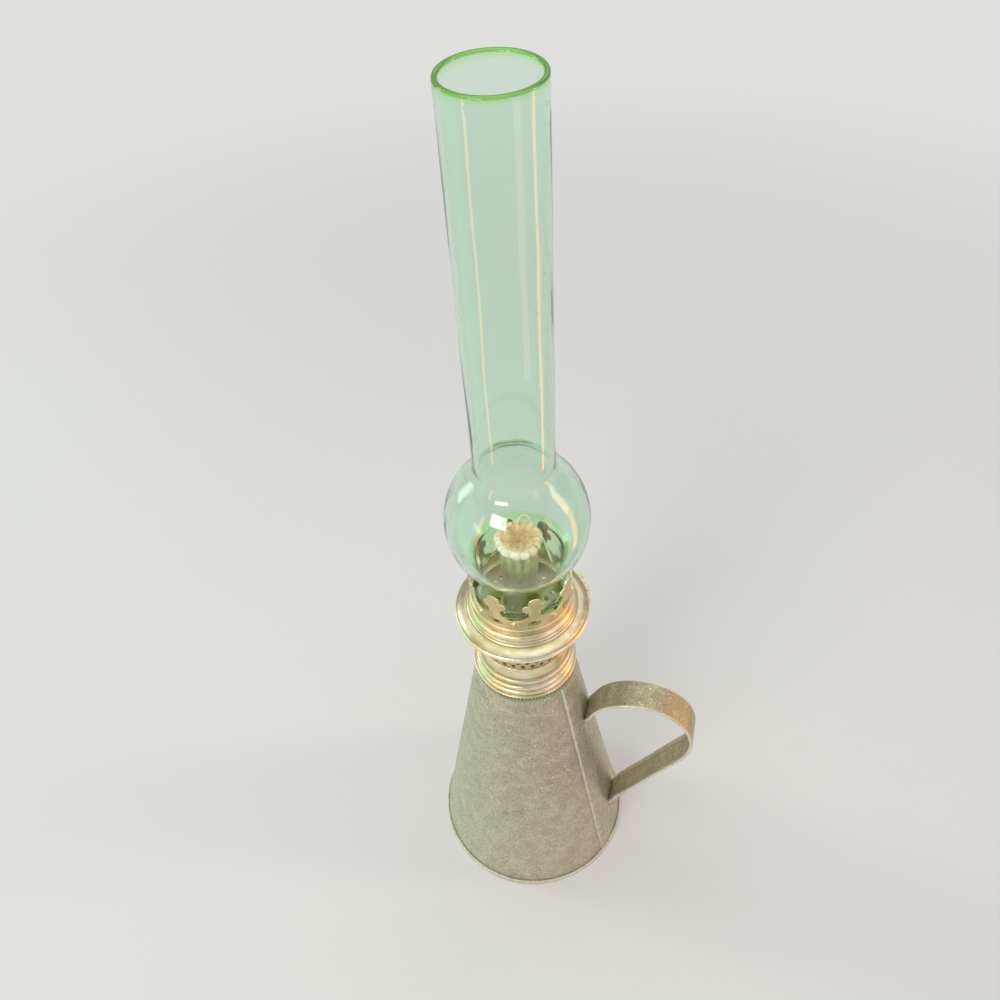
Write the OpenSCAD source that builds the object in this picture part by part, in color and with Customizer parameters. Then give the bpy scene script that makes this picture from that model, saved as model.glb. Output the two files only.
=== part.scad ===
// Small kerosene hand lamp: a conical sheet-metal font with a strap handle, a brass
// round-wick burner that screws into a brass collar, and a bulbed glass chimney held
// in a crown of stamped leaves. The origin is the middle of the foot on the table, +Z is
// up and the handle points along +X. All lengths are in millimetres, angles in degrees.

/* [Font] */
// Radius of the foot, over the folded rim
foot_r = 45; // [40:0.5:52]
// Height of the cone up to its turned-in shoulder
font_h = 133; // [120:1:150]
// Outer radius of the cone at the shoulder
shoulder_r = 20.3; // [19.8:0.1:20.6]
// Thickness of the zinc-coated sheet
sheet_t = 0.7; // [0.5:0.05:0.8]
// Height of the rim that is folded round the foot
rim_h = 2.4; // [2:0.1:4]
// Height of the bottom plate above the table
pan_rise = 4; // [3:0.5:8]
// Radius of the opening in the shoulder
mouth_r = 17.6; // [17.3:0.1:18.5]
// Width of the folded seam down the cone
seam_w = 8.4; // [6:0.2:8.8]
// How far the seam stands proud of the cone
seam_rise = 0.8; // [0.4:0.1:0.8]
// Direction of the seam from the handle
seam_az = -21.5; // [-160:0.5:-21]

/* [Handle] */
// Width of the strap
handle_w = 13; // [10:0.5:13]
// Thickness of the strap
handle_t = 0.8; // [0.6:0.1:1]
// Width of the hem folded along each edge of the strap
hem_w = 1.9; // [1:0.1:2.5]
// How far the hems stand out on the inner face
hem_t = 0.7; // [0.4:0.1:1]
// Height at which the strap leaves the cone
root_z = 98; // [90:1:104]
// Angle above the horizontal at which the strap leaves the cone
root_angle = 65; // [55:1:75]
// Straight length between the cone and the upper bend
root_len = 6.5; // [4:0.5:10]
// Radius of the upper bend
bend_top_r = 22.4; // [18:0.2:25]
// Turn of the upper bend
bend_top_a = 129; // [115:1:135]
// Radius of the outer bend
bend_out_r = 27; // [22:0.5:30]
// Turn of the outer bend
bend_out_a = 55; // [48:1:60]
// Radius at which the strap bends onto the cone
tab_bend_r = 3; // [2:0.5:5]
// Length of the tabs soldered to the cone
tab_len = 7; // [5:0.5:10]
// Width of the tabs
tab_w = 10.8; // [8:0.2:11]
// Width of the solder left round a tab
solder_w = 1.4; // [0.8:0.1:2]
// Thickness of the solder
solder_t = 0.5; // [0.3:0.1:0.6]

/* [Collar] */
// Bore that takes the burner's thread
collar_bore_r = 17; // [16.5:0.1:17.2]
// Height of the collar above the shoulder
collar_h = 6.7; // [6.5:0.1:9]
// Outer radius of the collar's plain wall
collar_wall_r = 18.9; // [18.4:0.1:19.2]
// Radius of the milled edge
milled_r = 21.3; // [21.1:0.1:22]
// Height of the milled edge
milled_h = 2.1; // [1.8:0.1:3]
// Number of teeth on the milled edge
milled_count = 90; // [48:6:108]
// Section radius of the two rings round the collar
ring_r = 1.5; // [1.2:0.1:1.5]

/* [Burner] */
// Thickness of the brass sheet
brass_t = 0.6; // [0.4:0.05:0.7]
// Length of the threaded spigot
spigot_h = 6.5; // [5:0.5:9]
// Wall of the spigot
spigot_wall = 1.35; // [1:0.05:1.5]
// Height of the neck over its lower shoulder
neck_h = 10.1; // [8:0.1:11]
// Section radius of the ring round the neck
neck_ring_r = 1.3; // [0.8:0.1:1.5]
// How far the pierced basket lies inside the crown that stands over it
basket_inset = 1.4; // [1.2:0.1:1.6]
// Height of the basket
basket_h = 23.8; // [22:0.2:27]
// Holes in each row round the basket
basket_holes = 30; // [20:2:36]
// Radius of the small holes of the two lower rows, which leave the bush a plain patch
small_hole_r = 0.85; // [0.5:0.05:1.1]
// Radius of the air holes of the top row
air_hole_r = 1.6; // [1:0.1:1.9]
// Height of the air plate above the foot of the basket
air_plate_up = 19; // [16.5:0.5:20]
// Height of the air plate's turned-down edge
plate_edge_h = 2; // [1:0.1:3]
// Radius of the holes in the air plate
plate_hole_r = 1; // [0.6:0.1:1.2]

/* [Gallery] */
// Radius of the flange at its rolled edge
flange_r = 26.4; // [25:0.1:28]
// Depth of the flange from its ledge down to the rolled edge
flange_drop = 7.3; // [6.5:0.1:9]
// Outer radius of the crown
crown_r = 19.4; // [18.8:0.1:20]
// Width of the crown's turned-in foot
crown_foot_w = 0.9; // [0.7:0.1:1]
// Width of the flange's ledge outside the crown
ledge_w = 0.5; // [0.4:0.1:1]
// Height of the band under the leaves
band_h = 11.8; // [11.4:0.1:13]
// Height of a leaf above the band
leaf_h = 10.8; // [9:0.2:13]
// Width of a leaf over its side lobes
leaf_w = 9.2; // [8:0.2:10]
// Width of a leaf's stem
stem_w = 4.6; // [3.6:0.2:5.4]
// Depth of the scoops in the band between the leaves
scoop_d = 3; // [2:0.1:3.2]
// How far the tips of the leaves lean out
leaf_lean = 1.1; // [0:0.1:2]
// Number of leaves
leaf_count = 8; // [6:1:9]
// Direction of the first leaf
leaf_az = 29; // [0:1:44]
// Radius of the pearls pressed into the band between the slots
pearl_r = 2.1; // [1.8:0.1:2.2]
// Thickness of the crown's sheet
crown_t = 0.5; // [0.4:0.05:0.6]
// Width of the slots under the leaves
slot_w = 5.5; // [4:0.1:6]
// Height of the slots
slot_h = 2.4; // [1.6:0.1:2.6]

/* [Wick and raiser] */
// Outer radius of the wick tube
tube_r = 7.3; // [7:0.1:8]
// Wall of the wick tube and of the draft tube
tube_t = 0.35; // [0.3:0.05:0.5]
// Height of the wick tube's mouth above the gallery ledge
tube_up = 30.5; // [24:0.1:32]
// How far the wick tube reaches below the collar's shoulder
tube_down = 3; // [0:0.5:20]
// Thickness of the woven wick
wick_t = 1.75; // [1.2:0.05:2.2]
// Height of the wick's end above the bottom plate
wick_end_up = 20; // [8:1:60]
// Height of the spread end of the wick above the tube
wick_top_h = 4; // [3.4:0.2:8]
// Radius of the spread end of the wick
wick_top_r = 9.3; // [8.4:0.1:10]
// Number of folds round the spread end
wick_folds = 15; // [9:1:18]
// Direction that the spindle points in
spindle_az = 32; // [20:1:50]
// Radius of the spindle
spindle_r = 0.9; // [0.7:0.05:1.1]
// Height of the spindle above the foot of the basket
spindle_up = 2.4; // [2.3:0.1:3]
// Radius of the star wheels over their teeth
star_r = 3.4; // [3:0.1:3.6]
// Thickness of a star wheel
star_t = 0.8; // [0.6:0.05:1]
// Distance of each star wheel from the middle of the pair
star_at = 1.7; // [1.4:0.1:2]
// Teeth of a star wheel
star_teeth = 10; // [8:1:12]
// Half the inner width of the housing round the star wheels
housing_half = 3; // [2.6:0.1:3.2]
// Half the inner height of the housing
housing_up = 4; // [3.8:0.1:5]
// Wall of the housing
housing_wall = 0.6; // [0.4:0.05:0.8]
// Length of the spindle that stands out of the housing and of the thumbwheel
spindle_end = 1.1; // [1:0.1:1.5]
// Distance from the lamp's axis to the middle of the thumbwheel, along the spindle
thumb_at = 29.6; // [28.8:0.1:32]
// Radius of the thumbwheel
thumb_r = 6.7; // [5.5:0.1:8]
// Scallops round the thumbwheel
thumb_scallops = 20; // [12:1:26]
// Width of the side air duct
duct_w = 5; // [4:0.1:5.4]
// Height of the side air duct
duct_h = 14; // [10:0.5:15]
// How far the wick can be raised or lowered
wick_travel = 6; // [4:0.5:7]

/* [Chimney] */
// Largest outer radius of the bulb
bulb_r = 26; // [24:0.2:28]
// Radius of the curve of the bulb's side
bulb_curve_r = 30.8; // [28:0.2:34]
// Height of the bulb's widest place above the chimney's foot
bulb_up = 35.5; // [32:0.5:40]
// Outer radius of the tube
flue_r = 14; // [12.5:0.1:16]
// Whole height of the chimney
chimney_h = 190.7; // [150:0.5:220]
// Wall of the glass
glass_t = 1.6; // [1.2:0.1:2.2]

/* [Clearances] */
// Gap between two sheets that are soldered or folded together
seat_gap = 0.05; // [0.02:0.01:0.1]
// Radial gap of a turning or threaded fit
running_gap = 0.05; // [0.02:0.01:0.09]
// Gap between parts that only rest on or slide past each other
rest_gap = 0.2; // [0.15:0.01:0.3]
// Radial gap between the chimney's foot and the crown
chimney_gap = 0.6; // [0.4:0.05:0.8]
// Gap between the wick and the metal round it
wick_gap = 0.3; // [0.2:0.05:0.5]

/* [Hidden] */
$fn = 96;

// Colours
zinc = "#8f9384";
solder_grey = "#b5b6ab";
brass = "#c9b56c";
dark_brass = "#9c8a4e";
cotton = "#cfa878";
glass_green = [0.62, 0.85, 0.68, 0.4];

// Font: the outside of the cone is a straight line from the foot to the shoulder
cone_foot_r = foot_r - sheet_t - seat_gap;
cone_slope = (cone_foot_r - shoulder_r) / font_h;
cone_wall = sheet_t * sqrt(1 + cone_slope * cone_slope);
cone_lean = atan(cone_slope);

// Handle: a chain of stretches, each [length, 0] or [radius, turn to the right]
strap_off = seat_gap + handle_t / 2;
up_heading = 90 + cone_lean;
strap_start = [cone_r(root_z) + strap_off / cos(cone_lean), root_z, up_heading];
root_bend = [tab_bend_r, up_heading - root_angle];
loop_bends = [[root_len, 0], [bend_top_r, bend_top_a], [bend_out_r, bend_out_a]];
loop_start = advance(strap_start, root_bend);
arm_start = walk(loop_bends, loop_start);
arm_turn = arm_start[2] + 180 - up_heading;
arm_len = arm_length(arm_start) - tab_bend_r * tan(-arm_turn / 2);
hem_stop = 3.5;
hemmed = concat(loop_bends, [[arm_len - hem_stop, 0]]);
strap = concat([root_bend], hemmed, [[hem_stop, 0], [tab_bend_r, arm_turn]]);
strap_end = walk(strap, strap_start);

// Heights up the lamp
collar_top = font_h + collar_h;
neck_z = collar_top + rest_gap;
neck_top = neck_z + neck_h;
basket_top = neck_top + basket_h;
ledge_z = basket_top + brass_t;
band_top = ledge_z + band_h;
leaf_top = band_top + leaf_h;
slot_z = band_top - 4.5;
lug_t = crown_t;
lug_z = slot_z + slot_h / 2;
chimney_z = lug_z + lug_t + rest_gap;
tube_top = ledge_z + tube_up;
tube_foot = collar_top - tube_down;
floor_z = neck_z + brass_t;
plate_z = neck_top + air_plate_up;

// Radii of the nested tubes, from the outside inwards
tube_bore = tube_r - tube_t;
wick_r = tube_bore - wick_gap;
wick_bore = wick_r - wick_t;
draft_r = wick_bore - wick_gap;
draft_bore = draft_r - tube_t;

// Radii round the gallery, from the crown inwards
basket_r = crown_r - basket_inset;
basket_bore = basket_r - crown_t;
neck_r = basket_r + 0.1;
ledge_in_r = crown_r - crown_foot_w - 0.2;
ledge_out_r = crown_r + ledge_w;
chimney_foot_r = crown_r - crown_t - chimney_gap;

// Wick raiser
spindle_z = neck_top + spindle_up;
star_reach = sqrt(wick_r * wick_r - pow(star_at - star_t / 2, 2)) + rest_gap;
spindle_off = star_reach + star_r;
housing_out = spindle_off + star_r + 0.5;
spindle_in = -housing_half - housing_wall - spindle_end;
wall_at = sqrt(pow(basket_r, 2) - pow(spindle_off, 2));
bush_in = 2.2;
bush_out = 1.6;
duct_az = spindle_az + 270;
duct_z = spindle_z + 0.5;
duct_wall = 0.5;

// Direction vector helpers and outlines

// Outer radius of the cone at a height
function cone_r(z) = cone_foot_r - cone_slope * z;

// Unit vector of v
function unit(v) = v / norm(v);

// v turned a quarter turn to the left
function left_of(v) = [-v[1], v[0]];

// Offset of a corner of an open outline, for one unit of thickness to its left
function corner(p, i) =
    let (last = len(p) - 2,
         a = left_of(unit(p[max(min(i - 1, last), 0) + 1] - p[max(min(i - 1, last), 0)])),
         b = left_of(unit(p[min(i, last) + 1] - p[min(i, last)])))
    (a + b) / (1 + a * b);

// Closed outline of a strip along the open outline p, between two distances to its left
function strip(p, near, far) = concat([for (i = [0:len(p) - 1]) p[i] + near * corner(p, i)],
    [for (i = [len(p) - 1:-1:0]) p[i] + far * corner(p, i)]);

// Closed outline of a sheet of thickness t that lies to the left of the open outline p
function sheet(p, t) = strip(p, 0, t);

// Points of an arc from p to q that rises s to the left of its chord
function bow(p, q, s, n = 8) =
    let (c = norm(q - p), half = 2 * atan(2 * s / c), r = c / (2 * sin(half)),
         along = unit(q - p), up = left_of(along), mid = (p + q) / 2)
    [for (i = [0:n]) let (a = half * (2 * i / n - 1))
        mid + along * r * sin(a) + up * r * (cos(a) - cos(half))];

// Points of an arc round a centre
function arc(centre, r, from, to, n) =
    [for (i = [0:n]) let (a = from + (to - from) * i / n) centre + r * [cos(a), sin(a)]];

// Place and heading after one stretch of the strap
function advance(s, stretch) =
    let (r = stretch[0], turn = stretch[1], side = sign(turn))
    turn == 0
        ? [s[0] + r * cos(s[2]), s[1] + r * sin(s[2]), s[2]]
        : [s[0] + side * r * (sin(s[2]) - sin(s[2] - turn)),
           s[1] - side * r * (cos(s[2]) - cos(s[2] - turn)), s[2] - turn];

// Place and heading at the end of a chain of stretches
function walk(stretches, s, i = 0) =
    i == len(stretches) ? s : walk(stretches, advance(s, stretches[i]), i + 1);

// Points along a chain of stretches, a few degrees apart where it bends
function chain_points(stretches, s, i = 0) =
    i == len(stretches) ? [[s[0], s[1]]] :
    let (n = max(ceil(abs(stretches[i][1]) / 4), 1))
    concat([for (k = [0:n - 1]) let (p = advance(s, stretches[i] * [[1, 0], [0, k / n]]))
            k == 0 ? [s[0], s[1]] : [p[0], p[1]]],
        chain_points(stretches, advance(s, stretches[i]), i + 1));

// Length from s straight on to the line on which the lower tab lies
function arm_length(s) =
    (cone_r(s[1]) + strap_off / cos(cone_lean) - s[0]) / (cos(s[2]) + cone_slope * sin(s[2]));

// Copies of the children, evenly round the axis
module round_axis(count, first = 0) {
    for (i = [0:count - 1]) rotate(first + 360 * i / count) children();
}

// A radial prism: its outline is drawn as seen from outside, with z upwards
module radial(az, from_r, to_r) {
    rotate(az) translate([from_r, 0, 0]) rotate([90, 0, 90])
        linear_extrude(to_r - from_r) children();
}

// Places the children on the spindle, which runs along their z
module on_spindle(at = 0) {
    rotate(spindle_az) translate([at, spindle_off, spindle_z]) rotate([0, 90, 0]) children();
}

// Font

// A band of the given thickness lying on the cone between two heights
module cone_band(low, high, gap, t) {
    rotate_extrude()
        polygon([[cone_r(low) + gap, low], [cone_r(high) + gap, high],
            [cone_r(high) + gap + t, high], [cone_r(low) + gap + t, low]]);
}

// A bar that points outwards over the width w, to pick out part of a band
module outward_bar(az, w, low, high) {
    rotate(az) translate([0, -w / 2, low]) cube([1.2 * foot_r, w, high - low]);
}

module font_cone() {
    foot_z = sheet_t + seat_gap;
    seam_top = font_h - milled_h;
    color(zinc) union() {
        rotate_extrude()
            polygon([[cone_r(foot_z), foot_z], [shoulder_r, font_h], [mouth_r, font_h],
                [mouth_r, font_h - sheet_t],
                [cone_r(font_h - sheet_t) - cone_wall, font_h - sheet_t],
                [cone_r(foot_z) - cone_wall, foot_z]]);
        intersection() {
            cone_band(rim_h + seat_gap, seam_top, -sheet_t / 2, sheet_t / 2 + seam_rise);
            outward_bar(seam_az, seam_w, 0, font_h);
        }
    }
}

// Bottom plate with its edge folded up into an upright rim round the foot of the cone
module font_bottom() {
    inner = cone_wall + seat_gap;
    color(zinc) rotate_extrude()
        polygon([[0, pan_rise], [cone_r(pan_rise) - inner - sheet_t, pan_rise],
            [cone_r(0) - inner - sheet_t, 0], [foot_r, 0], [foot_r, rim_h],
            [cone_r(rim_h) + seat_gap, rim_h], [cone_r(sheet_t) + seat_gap, sheet_t],
            [cone_r(sheet_t) - inner, sheet_t],
            [cone_r(pan_rise + sheet_t) - inner, pan_rise + sheet_t],
            [0, pan_rise + sheet_t]]);
}

// A strap along a chain of stretches, standing out by inner towards the inside of the loop
module strap_along(stretches, start, inner, width) {
    rotate([90, 0, 0]) linear_extrude(width, center = true)
        polygon(strip(chain_points(stretches, start), -handle_t / 2 - inner, handle_t / 2));
}

// Tab that lies on the cone between two heights
module handle_tab(low, high) {
    intersection() {
        cone_band(low, high, seat_gap, handle_t);
        outward_bar(0, tab_w, low, high);
    }
}

module handle() {
    overlap = 0.4;
    color(zinc) union() {
        strap_along(strap, strap_start, 0, handle_w);
        for (side = [-1, 1]) translate([0, side * (handle_w - hem_w) / 2, 0])
            strap_along(hemmed, loop_start, hem_t, hem_w);
        handle_tab(root_z - tab_len, root_z + overlap);
        handle_tab(strap_end[1] - tab_len, strap_end[1] + overlap);
    }
}

// Solder left round one tab, open at the top where the strap leaves the cone
module solder_pool(low, high) {
    side = tab_w / 2 + solder_w;
    difference() {
        intersection() {
            cone_band(low - solder_w, high, seat_gap, solder_t);
            outward_bar(0, 2 * side, low - solder_w, high);
        }
        outward_bar(0, tab_w + 2 * seat_gap, low - seat_gap, high + 1);
        outward_bar(seam_az, seam_w + 2 * seat_gap, 0, font_h);
    }
}

module handle_solder() {
    clear = 1;
    color(solder_grey) {
        solder_pool(root_z - tab_len, root_z - clear);
        solder_pool(strap_end[1] - tab_len, strap_end[1] - clear);
    }
}

module font_collar() {
    web_t = 1;
    skirt_z = font_h + web_t - milled_h;
    skirt_bore = cone_r(skirt_z) + seat_gap;
    edge_r = 0.45;
    first_ring = font_h + web_t + 0.9;
    flute_r = 0.3;
    color(brass) difference() {
        rotate_extrude() {
            translate([collar_bore_r, font_h])
                square([collar_wall_r - collar_bore_r, collar_h]);
            translate([collar_bore_r, font_h]) square([milled_r - edge_r - collar_bore_r, web_t]);
            translate([skirt_bore, skirt_z]) square([milled_r - skirt_bore, milled_h - edge_r]);
            translate([milled_r - edge_r, font_h + web_t - edge_r]) circle(edge_r, $fn = 32);
            translate([collar_wall_r, first_ring]) circle(ring_r);
            translate([collar_wall_r - 0.35, first_ring + 2 * ring_r]) circle(ring_r);
        }
        translate([0, 0, skirt_z - 1])
            round_axis(milled_count) translate([milled_r + 0.05, 0, 0])
                cylinder(h = 0.75 * milled_h + 1, r = flute_r, $fn = 16);
        translate([0, 0, font_h - milled_h]) cylinder(h = collar_h + 2 * milled_h, r = collar_bore_r);
    }
}

// Burner

module burner_neck() {
    spigot_r = collar_bore_r - running_gap;
    spigot_bore = spigot_r - spigot_wall;
    wall = neck_r - brass_t;
    lip = 0.4;
    color(brass) rotate_extrude() difference() {
        union() {
            translate([spigot_bore, neck_z - spigot_h]) square([spigot_wall, spigot_h + brass_t]);
            translate([spigot_bore, neck_z]) square([neck_r - spigot_bore, brass_t]);
            translate([neck_r - 0.2, neck_z + neck_ring_r]) circle(neck_ring_r);
            translate([wall, neck_z]) square([brass_t, neck_h]);
            translate([wall, neck_top - brass_t]) square([brass_t + lip, brass_t]);
        }
        translate([0, floor_z]) square([wall, neck_h]);
    }
}

// Plate that closes the font, with a vent for the fuel
module burner_floor() {
    vent_r = 1;
    vent_at = 12.5;
    color(dark_brass) translate([0, 0, floor_z]) difference() {
        cylinder(h = brass_t, r = neck_r - brass_t - seat_gap);
        translate([0, 0, -1]) {
            cylinder(h = brass_t + 2, r = tube_r + seat_gap);
            rotate(duct_az) translate([vent_at, 0, 0]) cylinder(h = brass_t + 2, r = vent_r, $fn = 24);
        }
    }
}

// Pierced basket, with two rows of small holes, a row of air holes and a turned-out lip
module burner_basket() {
    lip_r = crown_r + 0.1;
    pitch = 360 / basket_holes;
    bush_az = spindle_az + atan2(spindle_off, wall_at);
    rows = [[0.06, small_hole_r, 1, basket_holes - 1], [0.155, small_hole_r, 1.5, basket_holes - 2],
        [0.48, air_hole_r, 0, basket_holes]];
    color(dark_brass) difference() {
        rotate_extrude() {
            translate([basket_bore, neck_top]) square([crown_t, basket_h]);
            translate([basket_bore, basket_top - crown_t]) square([lip_r - basket_bore, crown_t]);
        }
        for (row = rows) translate([0, 0, neck_top + row[0] * basket_h])
            for (i = [0:row[3] - 1]) rotate(bush_az + (row[2] + i) * pitch)
                translate([basket_bore - 1, 0, 0]) rotate([0, 90, 0])
                    cylinder(h = crown_t + 2, r = row[1], $fn = 24);
        on_spindle(wall_at - bush_in) cylinder(h = 2 * bush_in, r = bush_r() + seat_gap, $fn = 48);
    }
}

// Perforated plate that spreads the air, with its edge turned down along the basket
module air_plate() {
    plate_r = basket_bore - seat_gap;
    rows = [[14, 0.256], [20, 0.611]];
    color(dark_brass) difference() {
        rotate_extrude() {
            translate([0, plate_z]) square([plate_r, crown_t]);
            translate([plate_r - crown_t, plate_z - plate_edge_h]) square([crown_t, plate_edge_h]);
        }
        translate([0, 0, plate_z - 1]) {
            cylinder(h = crown_t + 2, r = tube_r + seat_gap);
            for (row = rows)
                round_axis(row[0]) translate([tube_r + row[1] * (plate_r - tube_r), 0, 0])
                    cylinder(h = crown_t + 2, r = plate_hole_r, $fn = 24);
        }
    }
}

// Point of the flange: its share of the way out from the ledge, and its share of the drop
function flange_at(out, down) =
    [ledge_out_r + out * (flange_r - ledge_out_r), ledge_z - down * flange_drop];

// Stepped flange: an upright edge, a wide shallow skirt, a ring at its root and a steep
// two-step neck up to the ledge of the crown
module gallery_flange() {
    edge_r = 0.55;
    root = flange_at(0.262, 0.59);
    ring_top = flange_at(0.16, 0.466);
    step = flange_at(0.108, 0.26);
    skirt = concat(bow(flange_at(0.915, 0.8), root, -0.3), bow(root, ring_top, -0.24),
        bow(ring_top, step, -0.2, 6), bow(step, [ledge_out_r, ledge_z], -0.22, 5),
        [[ledge_in_r, ledge_z]]);
    color(brass) rotate_extrude() {
        polygon(sheet(dedupe(skirt), brass_t));
        polygon(sheet(bow(flange_at(0.96, 1), flange_at(0.915, 0.745), -0.36), brass_t));
        translate([flange_r - edge_r, ledge_z - flange_drop]) circle(edge_r, $fn = 48);
    }
}

// The outline without points that repeat the one before
function dedupe(p) = [for (i = [0:len(p) - 1]) if (i == 0 || norm(p[i] - p[max(i - 1, 0)]) > 0.01) p[i]];

// Outline of one leaf, seen from outside: a stem with two side lobes and a round head
module leaf() {
    lobe_r = leaf_w * 0.21;
    lobe_z = band_top + leaf_h * 0.46;
    head_r = leaf_w * 0.27;
    head_z = leaf_top - head_r;
    translate([-stem_w / 2, band_top - scoop_d - 0.5])
        square([stem_w, head_z - band_top + scoop_d + 0.5]);
    translate([lobe_r - leaf_w / 2, lobe_z - lobe_r]) square([leaf_w - 2 * lobe_r, 2 * lobe_r]);
    for (side = [-1, 1])
        translate([side * (leaf_w / 2 - lobe_r), lobe_z]) circle(lobe_r, $fn = 32);
    translate([0, head_z]) circle(head_r, $fn = 48);
}

// Sheet of the crown with its leaning upper part, on a turned-in foot
module crown_sheet() {
    straight = band_top - 2;
    rotate_extrude()
        polygon(sheet([[crown_r - crown_foot_w, ledge_z], [crown_r, ledge_z], [crown_r, straight],
            [crown_r + leaf_lean, leaf_top + 0.5]], crown_t));
}

// Outline of the scoop between two leaves; it ends inside their stems
module scoop() {
    half_gap = crown_r * sin(180 / leaf_count - asin(stem_w / 2 / crown_r)) + 0.2;
    scoop_r = (half_gap * half_gap + scoop_d * scoop_d) / (2 * scoop_d);
    translate([0, band_top - scoop_d + scoop_r]) circle(scoop_r);
}

// Band with its turned-in foot, the scoops between the leaves and the leaves themselves
module crown_wall(reach, half) {
    intersection() {
        crown_sheet();
        union() {
            difference() {
                translate([0, 0, ledge_z - 1]) cylinder(h = band_top - ledge_z + 1, r = reach);
                round_axis(leaf_count, leaf_az + half) radial(0, foot_reach(), reach + 1) scoop();
            }
            round_axis(leaf_count, leaf_az) radial(0, foot_reach(), reach) leaf();
        }
    }
}

module gallery_crown() {
    reach = crown_r + leaf_lean + 2;
    half = 180 / leaf_count;
    bead_r = 0.45;
    pearl_in = 1.2;
    color(brass) {
        difference() {
            union() {
                crown_wall(reach, half);
                rotate_extrude() translate([crown_r, ledge_z + 3.3]) circle(bead_r, $fn = 32);
                round_axis(leaf_count, leaf_az + half) pearl(pearl_in) sphere(pearl_r, $fn = 48);
            }
            round_axis(leaf_count, leaf_az + half) pearl(pearl_in) sphere(pearl_r - crown_t, $fn = 48);
            round_axis(leaf_count, leaf_az) radial(0, foot_reach(), reach) slot();
            cylinder(h = 4 * font_h, r = crown_r - crown_t - 0.001);
        }
        round_axis(leaf_count, leaf_az)
            radial(0, chimney_foot_r - 2.4, crown_r - crown_t / 2)
                translate([-slot_w / 2 + 0.5, lug_z]) square([slot_w - 1, lug_t]);
    }
}

// Places the children at the centre of a pearl, inside the crown's surface
module pearl(inset) {
    translate([crown_r - inset, 0, slot_z - 0.6]) children();
}

// Inner end of the prisms that cut the crown
function foot_reach() = crown_r - 4;

// Slot from which a seat lug is bent inwards
module slot() {
    end_r = slot_h / 2;
    for (side = [-1, 1]) translate([side * (slot_w / 2 - end_r), slot_z]) circle(end_r, $fn = 24);
    translate([-slot_w / 2 + end_r, slot_z - end_r]) square([slot_w - 2 * end_r, slot_h]);
}

// Box in the frame of the raiser: along the spindle, across it and upwards
module raiser_box(at, out, up) {
    rotate(spindle_az) translate([at[0], out[0], spindle_z + up[0]])
        cube([at[1] - at[0], out[1] - out[0], up[1] - up[0]]);
}

// Radial box at the side air duct
module duct_box(from_r, to_r, inset) {
    rotate(duct_az) translate([from_r, -duct_w / 2 + inset, duct_z + inset])
        cube([to_r - from_r, duct_w - 2 * inset, duct_h - 2 * inset]);
}

module wick_tube() {
    slot_t = star_t + 0.8;
    slot_up = 2.6;
    color(brass) difference() {
        translate([0, 0, tube_foot]) cylinder(h = tube_top - tube_foot, r = tube_r);
        translate([0, 0, tube_foot - 1]) cylinder(h = tube_top - tube_foot + 2, r = tube_bore);
        duct_box(draft_r, tube_r + 2, -seat_gap);
        for (side = [-1, 1])
            raiser_box([side * star_at - slot_t / 2, side * star_at + slot_t / 2],
                [0, tube_r + 2], [-slot_up, slot_up]);
    }
}

// Inner tube that brings air to the middle of the flame, closed below the side duct
module draft_tube() {
    cap_t = 0.6;
    low = duct_z - 1;
    color(brass) difference() {
        translate([0, 0, low]) cylinder(h = tube_top - 1.2 - low, r = draft_r);
        translate([0, 0, low + cap_t]) cylinder(h = tube_top, r = draft_bore);
        duct_box(0, draft_r + 1, duct_wall);
    }
}

// Duct from the side of the wick tube to the draft tube, through the gap in the wick
module air_duct() {
    color(brass) difference() {
        duct_box(draft_bore, tube_r + 1, 0);
        duct_box(0, tube_r + 2, duct_wall);
        translate([0, 0, duct_z - 1]) cylinder(h = duct_h + 2, r = draft_r + seat_gap);
        difference() {
            translate([0, 0, duct_z - 1]) cylinder(h = duct_h + 2, r = tube_r + 6);
            translate([0, 0, duct_z - 2]) cylinder(h = duct_h + 4, r = tube_r);
        }
    }
}

// Box round the star wheels; its two cheeks carry the spindle
module raiser_housing() {
    outer = housing_half + housing_wall;
    color(dark_brass) difference() {
        raiser_box([-outer, outer], [0, housing_out + housing_wall],
            [-housing_up - housing_wall, housing_up + housing_wall]);
        raiser_box([-housing_half, housing_half], [-1, housing_out], [-housing_up, housing_up]);
        translate([0, 0, spindle_z - 2 * housing_up])
            cylinder(h = 4 * housing_up, r = tube_r + seat_gap);
        on_spindle(-outer - 1) cylinder(h = 2 * outer + 2, r = spindle_r + running_gap, $fn = 48);
    }
}

function bush_r() = spindle_r + 0.8;

// Flanged bush that carries the spindle where it leaves the basket
module spindle_bush() {
    bore = spindle_r + running_gap;
    collar_t = 0.8;
    collar_r = bush_r() + 0.6;
    length = bush_in + bush_out;
    color(brass) on_spindle(wall_at - bush_in) rotate_extrude($fn = 48)
        polygon([[bore, 0], [bush_r(), 0], [bush_r(), length], [collar_r, length],
            [collar_r, length + collar_t], [bore, length + collar_t]]);
}

module wick_spindle() {
    head_t = 0.7;
    color(brass) {
        on_spindle(spindle_in)
            cylinder(h = thumb_at + spindle_end - spindle_in, r = spindle_r, $fn = 48);
        on_spindle(spindle_in - head_t) cylinder(h = head_t, r = spindle_r + 0.5, $fn = 48);
    }
}

// Outline of a star wheel
module star() {
    root_r = star_r - 1;
    half_tooth = 150 / star_teeth;
    circle(root_r, $fn = 48);
    for (i = [0:star_teeth - 1])
        rotate(180 / star_teeth * 2 * i)
            polygon([for (p = [[root_r - 0.3, -half_tooth], [star_r, -2], [star_r, 2],
                [root_r - 0.3, half_tooth]]) p[0] * [cos(p[1]), sin(p[1])]]);
}

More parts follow.
